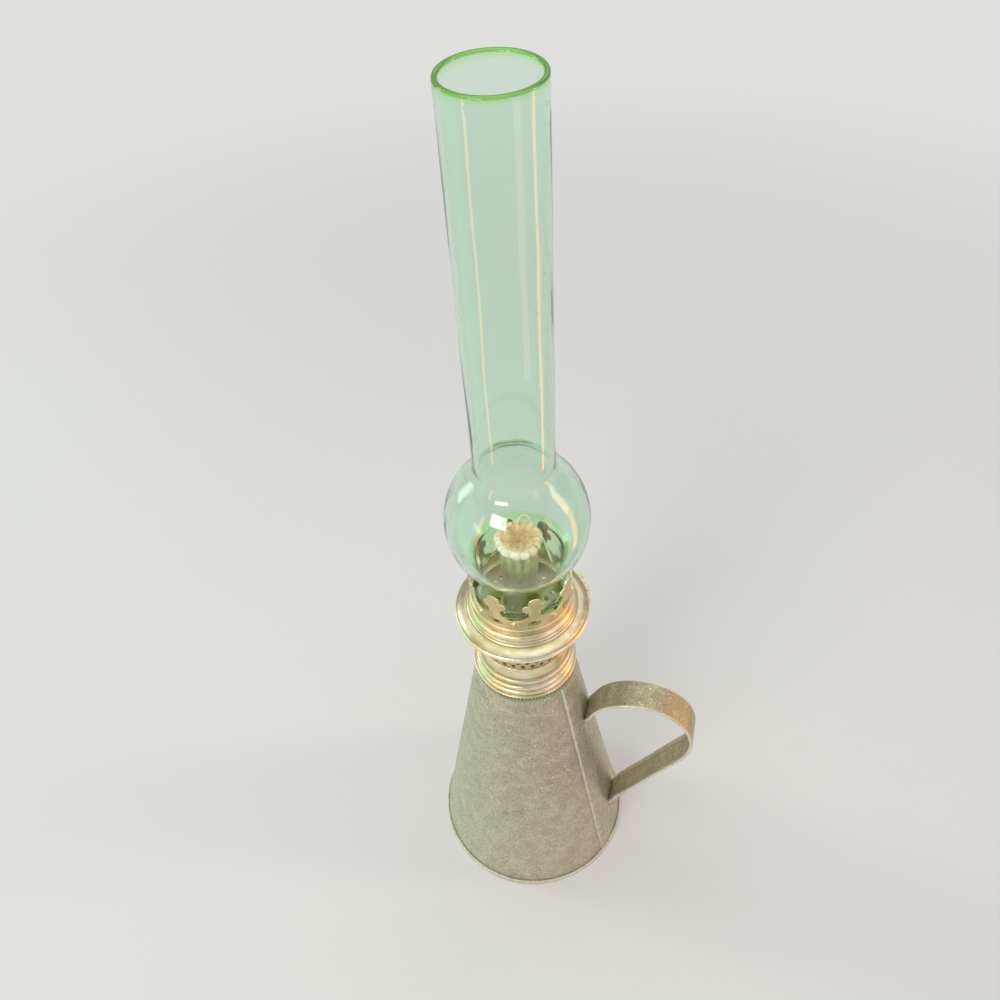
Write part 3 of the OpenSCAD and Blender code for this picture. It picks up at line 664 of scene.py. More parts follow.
@dataclass(frozen=True)
class Dressed:
    """A CAD node shown through a smooth-shaded copy of its own mesh.

    Where it is asked for, the faces of the sheet's cut edges get a painted highlight: those whose
    normals lie more than edge_angle degrees off the direction away from Z.
    """

    node: str
    body: Body
    slot: Slot
    highlight_cut_edges: bool = False
    edge_angle: float = 50.0
    sharp: float = 32.0
    merge: float = 0.002

    def paint_edge_highlights(self, mesh: bpy.types.Mesh) -> None:
        """Paints a highlight on the cut edges' faces, in the first painted attribute."""
        normal, middle = np.empty((2, 3 * len(mesh.polygons)))
        mesh.polygons.foreach_get("normal", normal)
        mesh.polygons.foreach_get("center", middle)
        away = unit(middle.reshape(-1, 3)[:, :2])
        facing = np.abs((normal.reshape(-1, 3)[:, :2] * away).sum(1))
        # Cut edges get a painted highlight.
        worn_and_glint = (facing < math.cos(math.radians(self.edge_angle))).astype(np.float32)
        mesh.attributes.new("wear", "FLOAT", "FACE").data.foreach_set("value", worn_and_glint)

    def build(self, material: Material) -> Object:
        """Copies the node's mesh, joins its loose triangles and returns the dressed copy."""
        name = self.node + "_skin"
        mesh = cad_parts[self.node].data.copy()
        mesh.name = name
        work = bmesh.new()
        work.from_mesh(mesh)
        bmesh.ops.remove_doubles(work, verts=work.verts, dist=self.merge * MM)
        work.to_mesh(mesh)
        work.free()
        if "custom_normal" in mesh.attributes:
            mesh.attributes.remove(mesh.attributes["custom_normal"])
        if self.highlight_cut_edges:
            self.paint_edge_highlights(mesh)
        return placed(name, mesh, material, self.node, self.body, self.sharp)


# Font


@dataclass(frozen=True)
class Font:
    """Conical sheet-metal font with a folded seam and a folded foot rim."""

    foot_r: float = 44.25
    slope: float = 0.1800752
    height: float = 133.0
    mouth_r: float = 17.6
    sheet: float = 0.7
    foot_z: float = 0.75
    seam_az: float = -21.5
    seam_w: float = 8.4
    seam_rise: float = 0.8
    seam_low: float = 2.5
    seam_high: float = 130.9
    rim_r: float = 45.0
    rim_h: float = 2.4
    pan_z: float = 4.0
    fold_gap: float = 0.05
    far_columns: int = 168

    def radius(self, z: Any) -> Any:
        """Outer radius of the plain cone at a height."""
        return self.foot_r - self.slope * z

    def at(self, z: float, inwards: float = 0.0) -> tuple[float, float]:
        """A point of the outline at a height, inwards from the plain cone."""
        return self.radius(z) - inwards, z

    def seam(self, across: Grid, z: Grid) -> Grid:
        """How far the seam lifts the surface, by distance from its middle and height.

        It is flat over its width, falls off over a third of a millimetre at each long edge, and
        its middle is pressed in by a twentieth of a millimetre.
        """
        edge = 1.0 - smooth(self.seam_w / 2 - 0.38, self.seam_w / 2, np.abs(across))
        top = 1.0 - smooth(self.seam_high - 0.4, self.seam_high, z)
        pressed = self.seam_rise - 0.05 * np.cos(across / self.seam_w * math.pi)
        return edge * smooth(self.seam_low - 0.3, self.seam_low, z) * top * pressed

    def surface_r(self, az: Grid, z: Grid) -> Grid:
        """Outer radius with the seam and the sheet's small waves.

        The waves are two long sines round the cone and along it, a tenth of a millimetre high, and
        they fade out towards the foot and the shoulder.
        """
        across = wrapped(az - math.radians(self.seam_az)) * self.radius(z)
        still = smooth(0.0, 14.0, z) * (1.0 - smooth(116.0, 130.0, z))
        wave = 0.07 * np.sin(3 * az + z * 0.045) + 0.05 * np.sin(7 * az - z * 0.083 + 1.0)
        return self.radius(z) + self.seam(across, z) + wave * still

    def cone(self) -> Surface:
        """The cone, as a closed sheet with its turned-in shoulder.

        Its columns stand at fixed distances from the seam near it, and spread evenly elsewhere.
        """
        wall, under = self.sheet * math.hypot(1.0, self.slope), self.height - self.sheet
        outer = line(self.at(self.foot_z), self.at(self.height - 0.5), 90)
        inner = line(self.at(under, wall), self.at(self.foot_z, wall), 12)
        top = np.array([self.at(self.height, 0.4), (self.mouth_r + 0.2, self.height),
                        (self.mouth_r, self.height - 0.35), (self.mouth_r + 0.2, under)])
        outline = np.concatenate([outer, top, inner])
        edge = self.seam_w / 2
        side = np.append(line(edge + 1.6, edge + 0.1, 4), line(edge, edge - 0.45, 5))
        near = np.concatenate([-side, line(0.9 - edge, edge - 0.9, 9), side[::-1]])
        far = np.linspace(0.0, 1.0, self.far_columns + 2)[1:-1]
        r, z = outline[:, :1], outline[:, 1:]
        scale, seam_at = self.radius(z), math.radians(self.seam_az)
        start, end = near[-1] / scale, 2 * math.pi + near[0] / scale
        angle = seam_at + np.concatenate([near / scale, start + far * (end - start)], 1)
        is_outer = (np.arange(len(outline)) < len(outer))[:, None]
        height = z.repeat(angle.shape[1], 1)
        radius = np.where(is_outer, self.surface_r(angle, height), r)
        across = np.abs(wrapped(angle - seam_at) * scale)
        inside = (height > self.seam_low) & (height < self.seam_high)
        wear = 0.95 * peak(across, edge - 0.2, 0.32) * inside + 0.5 * peak(height, self.height, 0.7)
        # Darker beside the seam, above the foot rim and under the collar: painted shade with some
        # dirt.
        grime = 0.55 * peak(across, edge + 0.55, 0.45) * inside
        grime += 0.6 * peak(height, self.rim_h + 0.3, 0.6)
        grime += 0.85 * smooth(self.seam_high - 0.9, self.seam_high - 0.1, height)
        paint = {"wear": wear * is_outer, "grime": grime * is_outer}
        return skin_of(around(radius, angle, height), loop_rows=True, paint=paint)

    def bottom(self) -> Surface:
        """The bottom plate with its edge folded into the foot rim."""
        gap, t, pan = self.fold_gap, self.sheet, self.pan_z
        inner = t * math.hypot(1.0, self.slope) + gap
        middle = self.radius(pan) - 4.0
        corners = [self.at(pan, inner + t), self.at(0.0, inner + t), (self.rim_r, 0.0),
                   (self.rim_r, self.rim_h), self.at(self.rim_h, -gap), self.at(t, -gap),
                   self.at(t, inner), self.at(pan + t, inner)]
        outline = np.concatenate([line((0.0, pan), (middle, pan), 8), softened(corners, 0.42),
                                  line((middle, pan + t), (0.0, pan + t), 8)])

        def paint(r: Grid, z: Grid, a: Grid) -> dict:
            """Worn edge of the rim."""
            worn_and_glint = smooth(self.rim_r - 0.9, self.rim_r - 0.1, r)
            return {"wear": worn_and_glint * (0.62 + 0.2 * np.sin(9 * a + 3 * np.sin(2 * a)))}

        return turned(outline, 256, paint=paint)

    def on_cone(self, y: Grid, z: Grid, lift: Grid) -> Grid:
        """Points on the cone's handle side at sideways distance y and height z, lifted off it."""
        az = np.arcsin(np.clip(y / self.radius(z), -0.99, 0.99))
        return around(self.surface_r(az, z) + lift, az, z)


@dataclass(frozen=True)
class Handle:
    """Strap handle with hemmed edges and two tabs soldered to the cone."""

    font: Font
    width: float = 13.0
    thick: float = 0.8
    hem_w: float = 1.9
    hem_t: float = 0.7
    root_z: float = 98.0
    root_angle: float = 65.0
    tab_bend: float = 3.0
    tab_len: float = 7.0
    tab_w: float = 10.8
    hem_stop: float = 3.5
    gap: float = 0.05
    step: float = 0.9
    loop: tuple = ((6.5, 0.0), (22.4, 129.0), (27.0, 55.0))
    names: tuple = ("foot", "root", "loop", "top", "outer", "arm", "arm_end", "tab", "end")

    def advance(self, state: Grid, length: float, turn: float, share: float = 1.0) -> Grid:
        """Place and heading after a share of a stretch: a straight, or a bend of radius length.

        A bend to the right by turn degrees runs along the circle that touches the heading.
        """
        x, z, heading = state
        h, n = math.radians(heading), math.radians(heading - turn * share)
        if turn == 0:
            ahead = length * share
            return np.array([x + ahead * math.cos(h), z + ahead * math.sin(h), heading])
        r = math.copysign(length, turn)
        across, up = r * (math.sin(h) - math.sin(n)), r * (math.cos(h) - math.cos(n))
        return np.array([x + across, z - up, heading - turn * share])

    def centre_line(self) -> tuple[Grid, dict]:
        """Samples of the strap's middle.

        Returns:
            Rows of x, z, heading and distance along, and the distances where the stretches meet.
        """
        slope, length = self.font.slope, self.tab_len
        up = 90.0 + math.degrees(math.atan(slope))
        off = (self.gap + self.thick / 2) * math.hypot(1.0, slope)
        start = np.array([self.font.radius(self.root_z) + off, self.root_z, up])
        root = (self.tab_bend, up - self.root_angle)
        state = self.advance(start, *root)
        for stretch in self.loop:
            state = self.advance(state, *stretch)
        turn, h = state[2] + 180.0 - up, math.radians(state[2])
        reach = (self.font.radius(state[1]) + off - state[0]) / (math.cos(h) + slope * math.sin(h))
        arm = reach - self.tab_bend * math.tan(math.radians(-turn / 2))
        stretches = [(length, 0.0), root, *self.loop, (arm, 0.0), (self.tab_bend, turn),
                     (length, 0.0)]
        rows, marks, along, state = [], [0.0], 0.0, self.advance(start, -length, 0.0)
        for length, bend in stretches:
            size = length if bend == 0 else length * math.radians(abs(bend))
            steps = max(int(size / self.step), 6)
            for share in np.arange(steps) / steps:
                rows.append([*self.advance(state, length, bend, share), along + size * share])
            state = self.advance(state, length, bend)
            along += size
            marks.append(along)
        rows.append([*state, along])
        return np.array(rows), dict(zip(self.names, marks))

    def section(self) -> Grid:
        """Corners of the strap's section as rows of four numbers.

        The first two give y: a share of the half width and an offset. The others give n, outwards:
        an offset, and the share of the hem's thickness to take off it.
        """
        t, w = self.thick / 2, self.hem_w
        fold = np.radians(np.linspace(90.0, -90.0, 9))
        side = [(s, -0.4 * s, t, 0.0) for s in np.linspace(0.0, 0.93, 7)]
        turn = zip(np.cos(fold), np.sin(fold))
        side += [(1.0, 0.4 * c - 0.4, t * s, 0.5 - 0.5 * s) for c, s in turn]
        side += [(1.0, 0.22 - w, -t, 1.0), (1.0, 0.06 - w, -t - 0.04, 0.85),
                 (1.0, -w, -t - 0.02, 0.5), (1.0, -0.06 - w, -t, 0.0)]
        side += [(s, -0.5 * s, -t, 0.0) for s in np.linspace(0.62, 0.0, 5)]
        return np.array(side + [(-a, -b, c, d) for a, b, c, d in side[-2:0:-1]])

    def surface(self) -> Surface:
        """The strap as one closed sheet: its section, carried along the centre line.

        The strap is narrower at its tabs, which lie on the cone, and its hem stops short of them.
        """
        rows, mark = self.centre_line()
        heading, along = np.radians(rows[:, 2:3]), rows[:, 3:4]
        ends = (1.0 - smooth(mark["root"] - 0.5, mark["loop"] + 0.8, along)
                + smooth(mark["arm_end"] - 0.8, mark["tab"] + 0.5, along))
        half = self.width / 2 - (self.width - self.tab_w) / 2 * ends
        stop = mark["arm_end"] - self.hem_stop
        hem = self.hem_t * smooth(mark["loop"], mark["loop"] + 1.0, along)
        hem = hem * (1.0 - smooth(stop - 0.5, stop + 0.5, along))
        lies = (1.0 - smooth(mark["root"], mark["loop"], along)
                + smooth(mark["arm_end"], mark["tab"], along))
        share, offset, out, folded = self.section().T
        y = share * half + offset
        n = out - folded * hem
        n = n + 0.06 * np.sin(along * 0.21 + y * 0.18) * (1 - lies)
        x, z = rows[:, 0:1] - np.sin(heading) * n, rows[:, 1:2] + np.cos(heading) * n
        r = self.font.radius(z)
        x = x + lies * (np.sqrt(np.maximum(r * r - y * y, 1.0)) - r)
        from_edge, in_hem = np.abs(y) - half + self.hem_w, (n < 0) * (hem > 0.1)
        wear = np.maximum(0.95 * smooth(0.90, 0.985, np.abs(y) / half),
                          0.5 * peak(from_edge, 0.0, 0.22) * in_hem)
        # Darker in the creases beside the hems: painted shade with some dirt.
        grime = 0.7 * peak(from_edge, -0.5, 0.4) * in_hem
        grime = grime + 0.42 * peak(along, mark["outer"] + 2.0, 13.0) * (n > 0)
        return skin_of(np.stack([x, y, z], -1), caps=True, paint={"wear": wear, "grime": grime})


@dataclass(frozen=True)
class SolderBead:
    """Solder left round a tab's two sides and foot."""

    font: Font
    low: float
    high: float
    drip: float = 0.0
    seed: int = 1
    half: float = 5.65
    corner: float = 1.6
    bead: float = 1.15
    rise: float = 0.75
    sink: float = 0.12
    waves: tuple = ((1, 0.22), (2, 0.18), (3, 0.14), (5, 0.10))

    def surface(self) -> Surface:
        """A low uneven bead down one side of the tab, round its foot and over the other side.

        Its half width and height vary by sums of sines, and drip adds to both at the foot.
        """
        r, side = self.corner, self.half
        left = line((-side, self.high), (-side, self.low + r), 26)
        bend = arc((-side + r, self.low + r), r, 180.0, 270.0, 9)
        foot = line((-side + r, self.low), (side - r, self.low), 16)
        path = np.concatenate([left, bend, foot, bend[::-1] * [-1, 1], left * [-1, 1]])
        path = path[np.append(True, np.linalg.norm(np.diff(path, axis=0), axis=1) > 1e-3)]
        out = leftwards(path)
        s = np.linspace(0.0, 1.0, len(path))
        phases = np.random.default_rng(self.seed).uniform(0, 6, len(self.waves))
        wobble = 1 + sum(a * np.sin(k * 9.0 * s + p) for (k, a), p in zip(self.waves, phases))
        drop, end = self.drip * peak(s, 0.5, 0.09), np.minimum(s, 1.0 - s)
        width = self.bead * (wobble + 1.2 * drop) * smooth(0.0, 0.05, end) + 0.05
        height = self.rise * (wobble + 1.6 * drop) * smooth(0.0, 0.07, end) + 0.02
        a = np.radians(np.linspace(0.0, 180.0, 11))
        u, v = np.append(np.cos(a), [-0.5, 0.5]), np.append(np.sin(a), [0.0, 0.0])
        y, z = (path[:, k : k + 1] + out[:, k : k + 1] * u * width[:, None] for k in (0, 1))
        return skin_of(self.font.on_cone(y, z, v * height[:, None] - self.sink), caps=True)


# Collar, neck and gallery


@dataclass(frozen=True)
class Collar:
    """Brass collar with two rings and a milled edge."""

    bore: float = 17.0
    wall: float = 18.9
    foot: float = 133.0
    top: float = 139.7
    web: float = 1.0
    milled_r: float = 21.3
    milled_h: float = 2.1
    flute_h: float = 1.58
    flute_depth: float = 0.26
    shoulder: float = 0.45
    skirt: float = 20.55
    teeth: int = 90
    rings: tuple = ((18.9, 134.9), (18.55, 137.9))
    ring_r: float = 1.5
    grooves: tuple = (134.05, 136.4, 139.45)

    def surface(self) -> Surface:
        """The collar, with a flute cut for each tooth of the milled edge."""
        web_top, edge, soft = self.foot + self.web, self.milled_r, 0.2
        low = web_top - self.milled_h
        flute_top = low + self.flute_h
        z = np.linspace(web_top, self.top - soft, 110)
        rings = [bulge(z, *ring, self.ring_r) for ring in self.rings]
        outer = np.stack([np.maximum.reduce([np.full_like(z, self.wall), *rings]), z], -1)
        mill = np.array([[edge - 0.15, low], [edge, low + soft], [edge, low + 0.9],
                         [edge, flute_top - soft], [edge, flute_top]])
        crest = arc((edge - self.shoulder, web_top - self.shoulder), self.shoulder, 0.0, 90.0, 8)
        rest = np.array([[self.wall - 0.3, self.top], [self.bore + soft, self.top],
                         [self.bore, self.top - soft], [self.bore, self.foot],
                         [self.skirt, self.foot], [self.skirt, low]])
        outline = np.concatenate([mill, crest[1:], outer, rest])

        def band(r: Grid, z: Grid) -> Grid:
            """1 on the fluted band of the milled edge."""
            return (r > edge - 0.3) * smooth(flute_top + 0.1, flute_top - 0.25, z)

        def flutes(r: Grid, z: Grid, a: Grid) -> Grid:
            """Depth share of the flutes, which are round hollows between sharp lands."""
            hollow = np.maximum(np.cos(a * self.teeth) + 0.25, 0.0)
            return band(r, z) * np.sqrt(hollow)

        def change(r: Grid, z: Grid, a: Grid) -> tuple:
            """Cuts the flutes."""
            return r - self.flute_depth * flutes(r, z, a), z

        def paint(r: Grid, z: Grid, a: Grid) -> dict:
            """Painted shade and patina in the flutes and grooves, bright crests of the rings."""
            grooves = sum(peak(z, groove, 0.3) for groove in self.grooves)
            grooves = grooves * (r < self.wall + 1.3) * (r > self.bore + 0.5)
            bright = smooth(self.wall + 0.7, self.wall + 1.4, r) * (z > web_top + 0.3)
            grime = 0.55 * (band(r, z) + grooves) + 0.6 * flutes(r, z, a)
            return {"grime": np.clip(grime, 0, 1), "wear": 0.6 * bright}

        return turned(outline, self.teeth * 8, change, paint)


@dataclass(frozen=True)
class Neck:
    """Neck of the burner: spigot, shoulder, ring, wall and lip."""

    spigot_bore: float = 15.6
    spigot_r: float = 16.95
    foot: float = 133.4
    shoulder: float = 139.9
    sheet: float = 0.6
    wall: float = 18.1
    ring: tuple = (17.9, 141.2, 1.3)
    ring_top: float = 142.6
    top: float = 150.0
    lip: float = 18.5

    def surface(self) -> Surface:
        """The neck as one turned sheet."""
        t, step = self.sheet, self.shoulder + self.sheet
        z = np.linspace(self.shoulder, self.top - t, 60)
        outer = np.stack([np.maximum(self.wall, bulge(z, *self.ring)), z], -1)
        bore, r = self.spigot_bore, self.spigot_r
        corners = [(bore, self.foot), (r, self.foot), (r, self.shoulder)]
        foot = softened(corners, 0.2)[:CORNER_POINTS]
        spigot = line((r, self.foot + 0.4), (r, self.shoulder), 20)
        lip = arc((self.lip - t / 2, self.top - t / 2), t / 2, -90.0, 90.0, 7)
        inside = np.array([[self.wall - t, self.top], [self.wall - t, step], [bore, step]])
        outline = np.concatenate([foot, spigot, outer, lip, inside])

        def paint(r: Grid, z: Grid, a: Grid) -> dict:
            """Painted shade where the ring meets the wall, bright on its crest."""
            root = 0.5 * peak(z, self.ring_top, 0.5) * (r > self.wall - 0.3)
            return {"grime": root, "wear": 0.6 * smooth(self.wall + 0.6, self.wall + 1.1, r)}

        return turned(outline, paint=paint)


@dataclass(frozen=True)
class Flange:
    """Stepped flange of the gallery with a rolled edge.

    A crest is given by its height and width, and a groove by its radius, height and width.
    """

    edge_r: float = 26.4
    drop: float = 7.3
    ledge_out: float = 19.9
    ledge_in: float = 18.3
    ledge_z: float = 174.4
    roll: float = 0.55
    under: tuple = ((18.3, 173.8), (19.5, 173.8), (19.85, 173.3), (19.98, 172.4), (20.22, 171.4),
                    (20.32, 170.3), (20.8, 169.6), (21.8, 169.42), (23.4, 169.05), (24.8, 168.45),
                    (25.35, 168.05), (25.5, 167.7))
    crests: tuple = ((170.75, 0.22), (172.0, 0.3))
    grooves: tuple = ((21.65, 170.1, 0.25), (20.95, 171.0, 0.2), (20.6, 172.5, 0.2),
                      (25.6, 168.75, 0.22))

    def at(self, out: float, down: float) -> tuple[float, float]:
        """A point by its share of the way out and of the drop."""
        width = self.edge_r - self.ledge_out
        return self.ledge_out + out * width, self.ledge_z - down * self.drop

    def top_face(self) -> Grid:
        """The top face, inwards: rolled edge, groove, skirt, ring, two steps, ledge."""
        points = ((0.262, 0.59), (0.16, 0.466), (0.108, 0.26), (0.0, 0.0))
        root, ring_top, step, corner = (self.at(*point) for point in points)
        rim = (self.edge_r - 0.02, self.ledge_z - self.drop + 0.1)
        parts = [bow(rim, self.at(0.915, 0.755), -0.30),
                 [self.at(0.885, 0.785)], bow(self.at(0.87, 0.78), root, -0.30, 30),
                 bow(root, ring_top, -0.24)[1:], bow(ring_top, step, -0.20)[1:],
                 bow(step, corner, -0.22)[1:], line(corner, (self.ledge_in, self.ledge_z), 6)[1:]]
        return eased(np.concatenate(parts), 0.6)

    def surface(self) -> Surface:
        """The flange, closed by its plain underside and the rolled edge."""
        centre = (self.edge_r - self.roll, self.ledge_z - self.drop)
        roll = arc(centre, self.roll, -215.0, 10.0, 16)
        outline = np.concatenate([resampled(self.under, 40), roll, self.top_face()])

        def change(r: Grid, z: Grid, a: Grid) -> tuple:
            """Lets the edge wave by a few hundredths, as spun sheet does."""
            share = smooth(self.ledge_out, self.edge_r, r)
            inwards = 0.04 * share * (1 + np.sin(3 * a + 1.0))
            return r - inwards, z + 0.06 * share * np.sin(5 * a)

        def paint(r: Grid, z: Grid, a: Grid) -> dict:
            """Bright crests at ring, steps and edge; painted shade and tarnish in grooves."""
            ring, step = (peak(z, at, width) for at, width in self.crests)
            crest = (ring * (r > 21.2) + step) * (r > 20.5)
            low = sum(peak(r, out, w) * peak(z, up, 0.35) for out, up, w in self.grooves)
            bright = 0.5 * crest + 0.7 * smooth(self.edge_r - 0.5, self.edge_r, r)
            return {"wear": np.clip(bright, 0, 1), "grime": np.clip(0.6 * low, 0, 1)}

        return turned(outline, 224, change, paint)


# Wick and chimney


@dataclass(frozen=True)
class WickTop:
    """End of the wick, folded out over its tube like a flower, with loose threads.

    The outline runs from the eye over the edge and back underneath. The lit folds round the azimuth
    front get a painted highlight. The fields loop, strand, side and eye are the knots of threads.
    """

    low: float = 205.1
    high: float = 209.1
    folds: int = 15
    front: float = 255.0
    seed: int = 7
    fibres: int = 70
    fibre_r: float = 0.05
    outline: tuple = (
        (0.0, 206.2), (0.4, 206.2), (0.8, 206.5), (1.3, 206.95), (2.2, 207.35), (3.4, 207.65),
        (4.8, 208.0), (6.0, 208.4), (7.0, 208.8), (7.8, 208.95), (8.5, 208.75), (9.0, 208.3),
        (9.25, 207.7), (9.25, 207.0), (9.0, 206.4), (8.6, 206.0), (8.1, 205.75), (7.4, 205.5),
        (6.6, 205.3), (4.0, 205.2), (0.0, 205.15))
    loop: tuple = ((-1.2, 4.6, 208.1), (-1.9, 6.4, 209.8), (-0.6, 7.8, 211.9),
                   (1.4, 8.1, 212.3), (2.7, 7.7, 210.8), (3.2, 6.9, 208.7))
    strand: tuple = ((7.9, 2.4, 208.2), (8.7, 2.7, 206.8), (9.7, 3.0, 203.0),
                     (10.7, 3.5, 198.2), (11.4, 4.4, 193.8), (11.9, 5.2, 190.6))
    side: tuple = ((-5.2, 5.6, 208.2), (-7.0, 7.2, 209.6), (-8.6, 6.6, 208.6))
    eye: tuple = ((-0.4, 1.6, 206.9), (-1.4, 2.4, 207.9), (-2.6, 2.2, 207.7))

    def lobes(self, angle: Grid) -> tuple:
        """Lobe height between 0 and 1, and the number of the fold, for each angle."""
        bent = angle + 0.09 * np.sin(3 * angle + 0.7) + 0.05 * np.sin(5 * angle)
        turn = (bent / (2 * math.pi) * self.folds) % self.folds
        part = turn % 1.0 - 0.5
        return np.sqrt(1.0 - 0.96 * (2 * part) ** 2), turn.astype(int) % self.folds

    def surface(self) -> Surface:
        """The rosette, turned from an outline and drawn into uneven folds.

        Each fold is a round lobe: the radius falls between lobes by the square-root law of a
        circle, and the top sinks there too. A random table gives each fold its own length, width
        and height, and fine ridges run outwards over the top.
        """
        rng = np.random.default_rng(self.seed)
        ranges = ((-0.45, 0.12), (-0.7, 0.0), (0.0, 0.6))
        tilt, swell, drop = (rng.uniform(*ends, self.folds) for ends in ranges)

        def change(r: Grid, z: Grid, a: Grid) -> tuple:
            """Draws the folds."""
            lobe, number = self.lobes(a)
            grip = smooth(3.0, 8.0, r)
            on_top = smooth(206.0, 207.6, z)
            new_r = r + grip * (swell[number] * lobe - (1 - lobe) * 1.15)
            ridges = (0.07 * np.sin(a * 53 + 2.0 * np.sin(r * 1.3))
                      + 0.05 * np.sin(a * 31 + r * 2.0))
            lift = ridges * smooth(0.8, 2.5, r) + grip * (tilt[number] - (1 - lobe) * 0.55)
            sag = (1 - on_top) * smooth(7.6, 9.0, r) * drop[number] * lobe
            return new_r, np.clip(z + on_top * lift - sag, self.low + 0.03, self.high)

        def paint(r: Grid, z: Grid, a: Grid) -> dict:
            """Brown to dark at the eye, painted shade in creases, painted highlight on lit folds.
            """
            lobe = self.lobes(a)[0]
            top = z > 206.1
            uneven = 0.75 + 0.25 * np.sin(a * 7 + r) * np.sin(a * 3 + 1.0)
            # The lit side of the rosette, round the azimuth front.
            front = smooth(-0.1, 0.95, np.cos(a - math.radians(self.front)))
            eye = (0.6 * smooth(7.0, 2.0, r) * uneven + 0.4 * smooth(1.1, 0.6, r)) * top
            # Painted shade in the creases between the folds.
            crease_shade = (1 - lobe) * 0.45 * smooth(3.5, 6.5, r) * (1 - 0.6 * front)
            # Paler towards the edge and on fold crests, most on the lit side: a painted highlight.
            wear = smooth(6.6, 8.0, r) * (0.25 + 0.75 * front) * (0.4 + 0.6 * lobe)
            return {"grime": np.clip(eye + crease_shade, 0, 1), "wear": np.clip(wear, 0, 1)}

        return turned(eased(resampled(self.outline, 84)), self.folds * 22, change, paint)

    def thread(self, knots: tuple, size: float, twist: Optional[float] = None) -> Surface:
        """A long thread through smoothed knots, or a strand that winds from the phase twist on."""
        count = 16 * len(knots)
        along = np.linspace(0, len(knots) - 1, count)
        curve = eased(resampled(knots, count), times=60)
        if twist is not None:
            wound = along * 7.0 + twist
            curve = curve + 0.2 * np.stack([np.cos(wound), np.sin(wound), 0.3 * np.cos(wound)], -1)
        return swept(curve, size * (1 + 0.2 * np.sin(along * 9.0)))

    def threads(self) -> Surface:
        """Loose threads and fibres.

        A looped thread stands over the back edge, two twisted strands hang from the right one,
        and the short fibres start on the rosette's edge and bend away at random.
        """
        parts = [self.thread(self.loop, 0.22), self.thread(self.strand, 0.24, 0.0),
                 self.thread(self.strand, 0.24, math.pi), self.thread(self.side, 0.12),
                 self.thread(self.eye, 0.10)]
        rng = np.random.default_rng(self.seed + 1)
        s = np.linspace(0, 1, 6)[:, None]
        for _ in range(self.fibres):
            az, z = rng.uniform(0, 2 * math.pi), rng.uniform(206.2, 208.4)
            out = np.array([math.cos(az), math.sin(az), 0.0])
            start = out * rng.uniform(7.7, 8.5) + [0, 0, z]
            lean = rng.normal(0, 0.45, 3) + out * 0.9
            reach = rng.uniform(0.6, 1.7)
            curl = rng.normal(0, 0.5, 3)
            path = start + lean * reach * s + curl * reach * s * s
            parts.append(swept(path, np.full(len(path), self.fibre_r), 5))
        whole = joined(parts)
        whole.paint["wear"] = np.full(len(whole.points), 0.7)
        return whole


